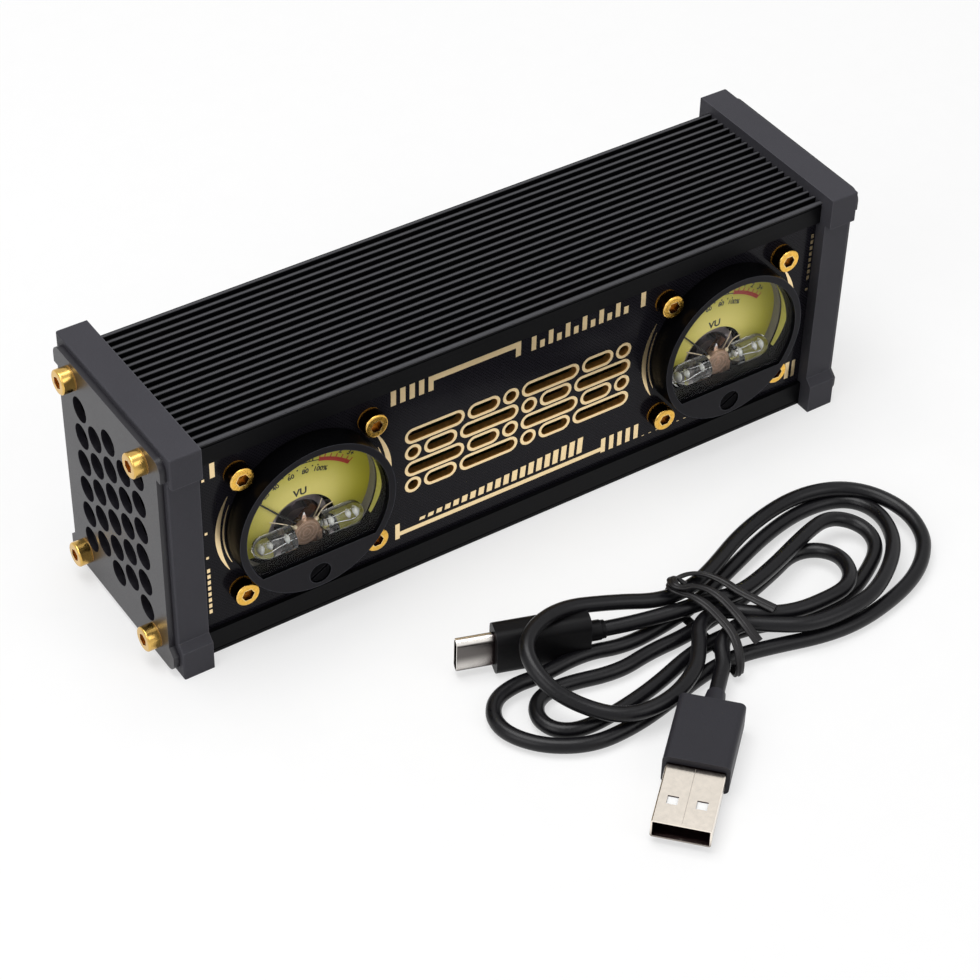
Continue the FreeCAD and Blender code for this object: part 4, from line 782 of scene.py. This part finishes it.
def clear_glass(name, tint, ior, rough, blacked=None):
    """Clear glass that lets the lamps' light through, made matt black as painted shade where the blacked mask
    is 1.
    """
    material, tree = shader_tree(name)
    look = place_effect(tree, grain, Colour=(*tint, 1), Shade=0.01, Size=600.0, Roughness=rough,
                        Spread=rough * 0.8)
    relief = add(tree, "Bump", {"Height": look["Height"], "Strength": 0.02, "Distance": 0.00005})
    shader = add(tree, "BsdfPrincipled", {
        "Base Color": look["Colour"], "Roughness": look["Roughness"], "Normal": relief.outputs[0],
        "Transmission Weight": 1.0, "IOR": ior})
    seen = add(tree, "MixShader", {0: add(tree, "LightPath").outputs["Is Shadow Ray"], 1: shader.outputs[0],
                                   2: add(tree, "BsdfTransparent").outputs[0]})
    if blacked:
        matt = add(tree, "BsdfDiffuse", {"Color": (0.004, 0.004, 0.005, 1)})
        seen = add(tree, "MixShader", {0: blacked(tree), 1: seen.outputs[0], 2: matt.outputs[0]})
    add(tree, "OutputMaterial", {"Surface": seen.outputs[0]})
    return material


LENS_LOW = min(corner[2] for corner in node["left_meter_lens"].bound_box)
LENS_EDGE_BAND = 0.0005


def shaded_lens_edge(tree):
    """Painted shade: the edge of the lens, all round and along its cut, made matt black."""
    return calc(tree, "MAXIMUM", place_effect(tree, sides)["Mask"],
                calc(tree, "LESS_THAN", object_axes(tree)[2], LENS_LOW + LENS_EDGE_BAND))


lens_acrylic = clear_glass("lens_acrylic", (0.985, 0.99, 0.98), 1.12, 0.012, shaded_lens_edge)
dress(pair_of("meter_lens"), lens_acrylic)


# ---- dials ----
# Each dial is a yellow-green printed sheet with two scales round the pivot.
# The scale, figures and letters are printed in black, and the upper end of the scale in red.

DIAL_Y = -17.5
PIVOT_Z = 22.3
INK, INK_SUNK = 0.02, 0.005
PALE_REACH, PALE_FULL, PALE_ABOVE, PALE_COVER = 0.0125, 0.003, 6.5, 0.75


def from_meter_axis(tree, height, sideways=1.0):
    """Distance from a line through the middle of either meter, at a height in millimetres."""
    x, _, z = object_axes(tree)
    beside = calc(tree, "SUBTRACT", calc(tree, "ABSOLUTE", x), METER_X * MM)
    squares = [calc(tree, "POWER", calc(tree, "MULTIPLY", beside, sideways), 2.0),
               calc(tree, "POWER", calc(tree, "SUBTRACT", z, height * MM), 2.0)]
    return calc(tree, "SQRT", calc(tree, "ADD", *squares))


def dial_light_patch(tree):
    """Painted light: the sheet is paler in a broad patch over the pivot."""
    off = from_meter_axis(tree, PIVOT_Z + PALE_ABOVE, 0.8)
    return calc(tree, "MULTIPLY", faded(tree, off, PALE_REACH, PALE_FULL), PALE_COVER)


dial_paper = coated("dial_paper", (0.39, 0.355, 0.022), 0.55, size=1500, shade=0.035, spread=0.05, bump=0.03,
                    marks=[(dial_light_patch, (0.82, 0.71, 0.22))])
dress(pair_of("dial_plate"), dial_paper)
black_ink = coated("black_ink", (0.012, 0.011, 0.010), 0.5, size=4000, shade=0.3, bump=0.03)
red_ink = coated("red_ink", (0.34, 0.019, 0.012), 0.5, size=4000, shade=0.12, bump=0.03)


def on_dial(cx, r, degrees):
    """A place on the dial, at an angle from straight up, clockwise."""
    a = math.radians(degrees)
    return cx + r * math.sin(a), PIVOT_Z + r * math.cos(a)


def arc_band(cx, r0, r1, from_deg, to_deg, steps=40):
    """Part of a ring round the pivot."""
    degs = [from_deg + (to_deg - from_deg) * k / steps for k in range(steps + 1)]
    return [on_dial(cx, r1, d) for d in degs] + [on_dial(cx, r0, d) for d in reversed(degs)]


def ticks(cx, r0, r1, degs, width):
    """Short radial lines round the pivot."""
    lines = []
    for deg in degs:
        s, c = math.sin(math.radians(deg)), math.cos(math.radians(deg))
        lines.append([(cx + r * s + w * c, PIVOT_Z + r * c - w * s)
                      for r, w in ((r0, -width / 2), (r1, -width / 2), (r1, width / 2), (r0, width / 2))])
    return lines


CAPITAL_SHARE, FIGURE_WEIGHT = 0.70, 0.045


def lettering(name, words, material):
    """Flat lettering; words are (text, (x, z), height, turn in degrees) in millimetres."""
    verts, faces = [], []
    for text, (x, z), height, turn in words:
        curve = bpy.data.curves.new("guide", "FONT")
        curve.body = text
        curve.size = height * MM / CAPITAL_SHARE
        curve.align_x = "CENTER"
        curve.align_y = "CENTER"
        curve.resolution_u = 4
        curve.extrude = INK * MM / 2
        curve.offset = height * MM * FIGURE_WEIGHT
        points, figure_faces = shape_of(curve)
        faces += [tuple(len(verts) + i for i in face) for face in figure_faces]
        s, c = math.sin(math.radians(turn)), math.cos(math.radians(turn))
        verts += [(x * MM + u * c + w * s, (DIAL_Y - INK / 2) * MM - rise, z * MM - u * s + w * c)
                  for u, w, rise in points]
    return mesh_piece(name, verts, faces, material)


SCALE_START, RED_START, RED_END = -40, 15.5, 43.5
LEVEL_MARKS = (-40, -29, -20, -11, -1.5, 5, 10.4)
BETWEEN_MARKS = (-34, -24.5, -15.5, -6, 2, 8)
PERCENT_MARKS = (-41, -34, -27, -21, -15, -9.3, -2.2, 4.9, 11.1, 16)
RED_MARKS = (15.7, 19.8, 24.6, 29.4, 34.4, 39.4, 43.3)
LEVEL_R, LEVEL_HIGH, PERCENT_ACROSS, PERCENT_UP, PERCENT_HIGH = 18.7, 1.15, 14.2, 14.3, 1.1
LEVELS = [("20", -40), ("10", -29), ("7", -20), ("5", -11), ("3", -1.5), ("2", 5), ("1", 11), ("0", 17),
          ("1", 24), ("2", 31), ("3+", 39.5)]
PERCENTS = [("0", -41), ("20", -34), ("40", -23.5), ("60", -8.5), ("80", 5.0), ("100%", 19.5)]
for side, cx in METERS:
    black_marks = [arc_band(cx, 16.45, 16.68, SCALE_START, RED_START)]
    black_marks += ticks(cx, 16.6, 17.7, LEVEL_MARKS, 0.30) + ticks(cx, 16.6, 17.2, BETWEEN_MARKS, 0.18)
    black_marks += ticks(cx, 15.15, 15.5, PERCENT_MARKS, 0.34)
    flat_shapes(f"{side}_dial_scale", black_marks, DIAL_Y - INK, DIAL_Y + INK_SUNK, black_ink)
    red_marks = [arc_band(cx, 16.2, 17.15, RED_START, RED_END)] + ticks(cx, 17.1, 17.95, RED_MARKS, 0.26)
    flat_shapes(f"{side}_dial_red_band", red_marks, DIAL_Y - INK, DIAL_Y + INK_SUNK, red_ink)
    words = [(text, on_dial(cx, LEVEL_R, deg), LEVEL_HIGH, deg) for text, deg in LEVELS]
    for text, deg in PERCENTS:
        at = on_dial(cx, PERCENT_ACROSS, deg)[0], on_dial(cx, PERCENT_UP, deg)[1]
        words.append((text, at, PERCENT_HIGH, deg))
    words.append(("VU", (cx - 0.1, PIVOT_Z + 9.3), 1.7, 0))
    lettering(f"{side}_dial_figures", words, black_ink)


# ---- meter movement ----
# A soft iron yoke and a core magnet lie behind the dial's round window, with the wound coil between.
# A copper hub on two legs carries the front pivot, and a spiral spring returns the needle.

HUB_RING_PITCH, HUB_RING_EDGE, HUB_RING_FULL, HUB_RING_COVER = 0.85 * MM, 0.34, 0.46, 0.45


def hub_rings(tree):
    """Bright turned rings round the pivot."""
    off = off_line(tree, from_meter_axis(tree, PIVOT_Z), HUB_RING_PITCH)
    return calc(tree, "MULTIPLY", faded(tree, off, HUB_RING_EDGE, HUB_RING_FULL), HUB_RING_COVER)


iron = coated("soft_iron", (0.30, 0.26, 0.28), 0.38, size=1300, shade=0.18, spread=0.08, bump=0.10,
              Metallic=0.9)
magnet_metal = coated("magnet_metal", (0.24, 0.21, 0.23), 0.34, size=1700, shade=0.20, spread=0.08, bump=0.12,
                      Metallic=0.9)
hub_copper = coated("hub_copper", (0.60, 0.39, 0.28), 0.48, size=1300, shade=0.30, spread=0.12, bump=0.60,
                    marks=[(hub_rings, (0.98, 0.76, 0.58))], Metallic=0.75)
wire_copper = coated("wire_copper", (0.15, 0.065, 0.035), 0.35, size=1600, stretch=(1, 8, 1), shade=0.25,
                     bump=0.25, Metallic=0.9)
bright_steel = coated("bright_steel", (0.86, 0.86, 0.88), 0.20, size=2000, shade=0.08, spread=0.06, bump=0.04,
                      Metallic=1.0)
spring_metal = coated("spring_metal", (0.55, 0.38, 0.18), 0.28, size=2500, shade=0.15, bump=0.04,
                      Metallic=1.0)
needle_paint = coated("needle_paint", (0.020, 0.019, 0.018), 0.45, size=3000, shade=0.2, bump=0.05)
# The zero screw's lighter slot edges are a painted highlight.
black_screw = coated("black_screw", (0.0040, 0.0040, 0.0048), 0.30, size=2400, stretch=(0.3, 4, 0.3),
                     shade=0.2, spread=0.08, bump=0.10, edge=(0.00018, (0.045, 0.045, 0.050)),
                     Specular_IOR_Level=0.01)
dress(pair_of("magnet_yoke"), iron)
dress(pair_of("magnet_core"), magnet_metal)
dress(pair_of("pivot_bridge"), hub_copper)
dress(pair_of("moving_coil"), wire_copper)
dress(pair_of("zero_lever"), bright_steel)
dress(pair_of("needle"), needle_paint)
dress(pair_of("zero_screw"), black_screw)

SPRING_Y, SPRING_INNER_R, SPRING_OUTER_R = -17.15, 0.95, 2.70
SPRING_TURNS, SPRING_STEPS = 4, 24
SPRING_STRIP = in_metres([(-0.15, -0.03), (0.15, -0.03), (0.15, 0.03), (-0.15, 0.03)])
for side, cx in METERS:
    middle = Vector(in_metres([(cx, SPRING_Y, PIVOT_Z)])[0])
    spiral = []
    for k in range(SPRING_TURNS * SPRING_STEPS + 1):
        a = math.tau * k / SPRING_STEPS
        r = SPRING_INNER_R + (SPRING_OUTER_R - SPRING_INNER_R) * k / (SPRING_TURNS * SPRING_STEPS)
        spiral.append(middle + Vector((r * math.cos(a), 0, r * math.sin(a))) * MM)
    verts, faces = sweep(spiral, SPRING_STRIP, lambda point, middle=middle: point - middle)
    coil_spring = mesh_piece(f"{side}_hairspring_spiral", verts, faces, spring_metal,
                             smooth=40)
    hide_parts(f"{side}_hairspring")


# ---- lamps and their wires ----
# Two clear glass lamps lie level beside the hub, with bent support wires and glass beads inside.
# Thin cream leads run from the hub and its two drops of solder to the coil's ends.

lamp_glass = clear_glass("lamp_glass", (0.84, 0.845, 0.84), 1.42, 0.03)
dress(pair_of("meter_lamps"), lamp_glass)
bead_glass = coated("bead_glass", (0.86, 0.86, 0.84), 0.25, size=2000, shade=0.08, bump=0.05)
lead_cream = coated("lead_cream", (0.72, 0.60, 0.42), 0.4, size=2500, shade=0.15, bump=0.06)
LAMP_Y, LAMP_Z = -20.05, 23.3
LAMP_WIRE_R, COIL_LEAD_R, SOLDER_R = 0.075, 0.13, 0.5
LAMP_WIRE = [(3.9, 0.0, 0.7), (6.0, -0.2, 0.7), (8.6, -0.1, 0.9), (9.8, -0.5, 1.3), (10.6, -0.2, 1.1),
             (11.2, 0.2, 0.4), (11.4, 0.0, -0.2), (11.0, -0.3, -0.9), (10.2, 0.1, -1.2), (9.2, -0.2, -1.0),
             (7.0, -0.1, -0.7), (3.9, 0.0, -0.6)]
# Each bead: its distance from the meter's middle and its radius.
BEADS, BEAD_HALF = ((5.2, 0.75), (9.2, 0.70), (10.9, 0.85)), 0.6
SOLDER =((-2.4, -19.1, 2.1), (2.6, -19.1, 2.2))
COIL_LEADS = [[(-7.4, -17.6, 4.6), (-5.6, -18.0, 3.8), (-3.8, -18.6, 3.0), (-2.4, -19.1, 2.1)],
              [(2.6, -19.1, 2.2), (4.0, -18.5, 3.2), (5.6, -17.9, 3.5), (7.4, -17.6, 3.4)],
              [(3.0, -17.20, 0.9), (3.9, -17.15, 2.3), (4.7, -17.10, 3.7), (5.2, -17.00, 4.9)]]


def round_wire(places, r, way_out):
    """A thin round wire along places in millimetres."""
    profile = [(r * MM * math.cos(math.tau * k / 8), r * MM * math.sin(math.tau * k / 8)) for k in range(8)]
    return sweep(smooth_line(places, 6), profile, lambda point: Vector(way_out))


def bead(place, r, way):
    """A glass bead round a lamp's axis, with a small flat at both ends."""
    profile = [(BEAD_HALF * (k / 6 - 1), r * math.sin(math.pi * (0.08 + 0.84 * k / 12))) for k in range(13)]
    return turned(in_metres(profile), in_metres([place])[0], (way, 0, 0), 20)


def solder_drop(place):
    """A ball with a small flat at both ends."""
    turns = [math.pi * (0.06 + 0.88 * k / 10) for k in range(11)]
    profile = [(-SOLDER_R * math.cos(a), SOLDER_R * math.sin(a)) for a in turns]
    return turned(in_metres(profile), in_metres([place])[0], (1, 0, 1), 16)


def joined_piece(name, shapes, material):
    """Several shapes as one piece."""
    verts, faces = [], []
    for more, more_faces in shapes:
        faces += [tuple(i + len(verts) for i in face) for face in more_faces]
        verts += more
    return mesh_piece(name, verts, faces, material, smooth=60)


for side, cx in METERS:
    wires = [round_wire([(cx + way * x, LAMP_Y + y, LAMP_Z + z) for x, y, z in LAMP_WIRE], LAMP_WIRE_R,
                        (0.2, 0.9, 0.3)) for way in (-1, 1)]
    joined_piece(f"{side}_lamp_wires", wires, bright_steel)
    beads = [bead((cx + way * x, LAMP_Y, LAMP_Z), r, way) for way in (-1, 1) for x, r in BEADS]
    joined_piece(f"{side}_lamp_beads", beads, bead_glass)
    leads = [round_wire([(cx + x, y, PIVOT_Z + z) for x, y, z in places], COIL_LEAD_R, (0.1, 1.0, 0.1))
             for places in COIL_LEADS]
    leads += [solder_drop((cx + x, y, PIVOT_Z + z)) for x, y, z in SOLDER]
    joined_piece(f"{side}_coil_leads", leads, lead_cream)


# ---- last update ----

bpy.context.view_layer.update()
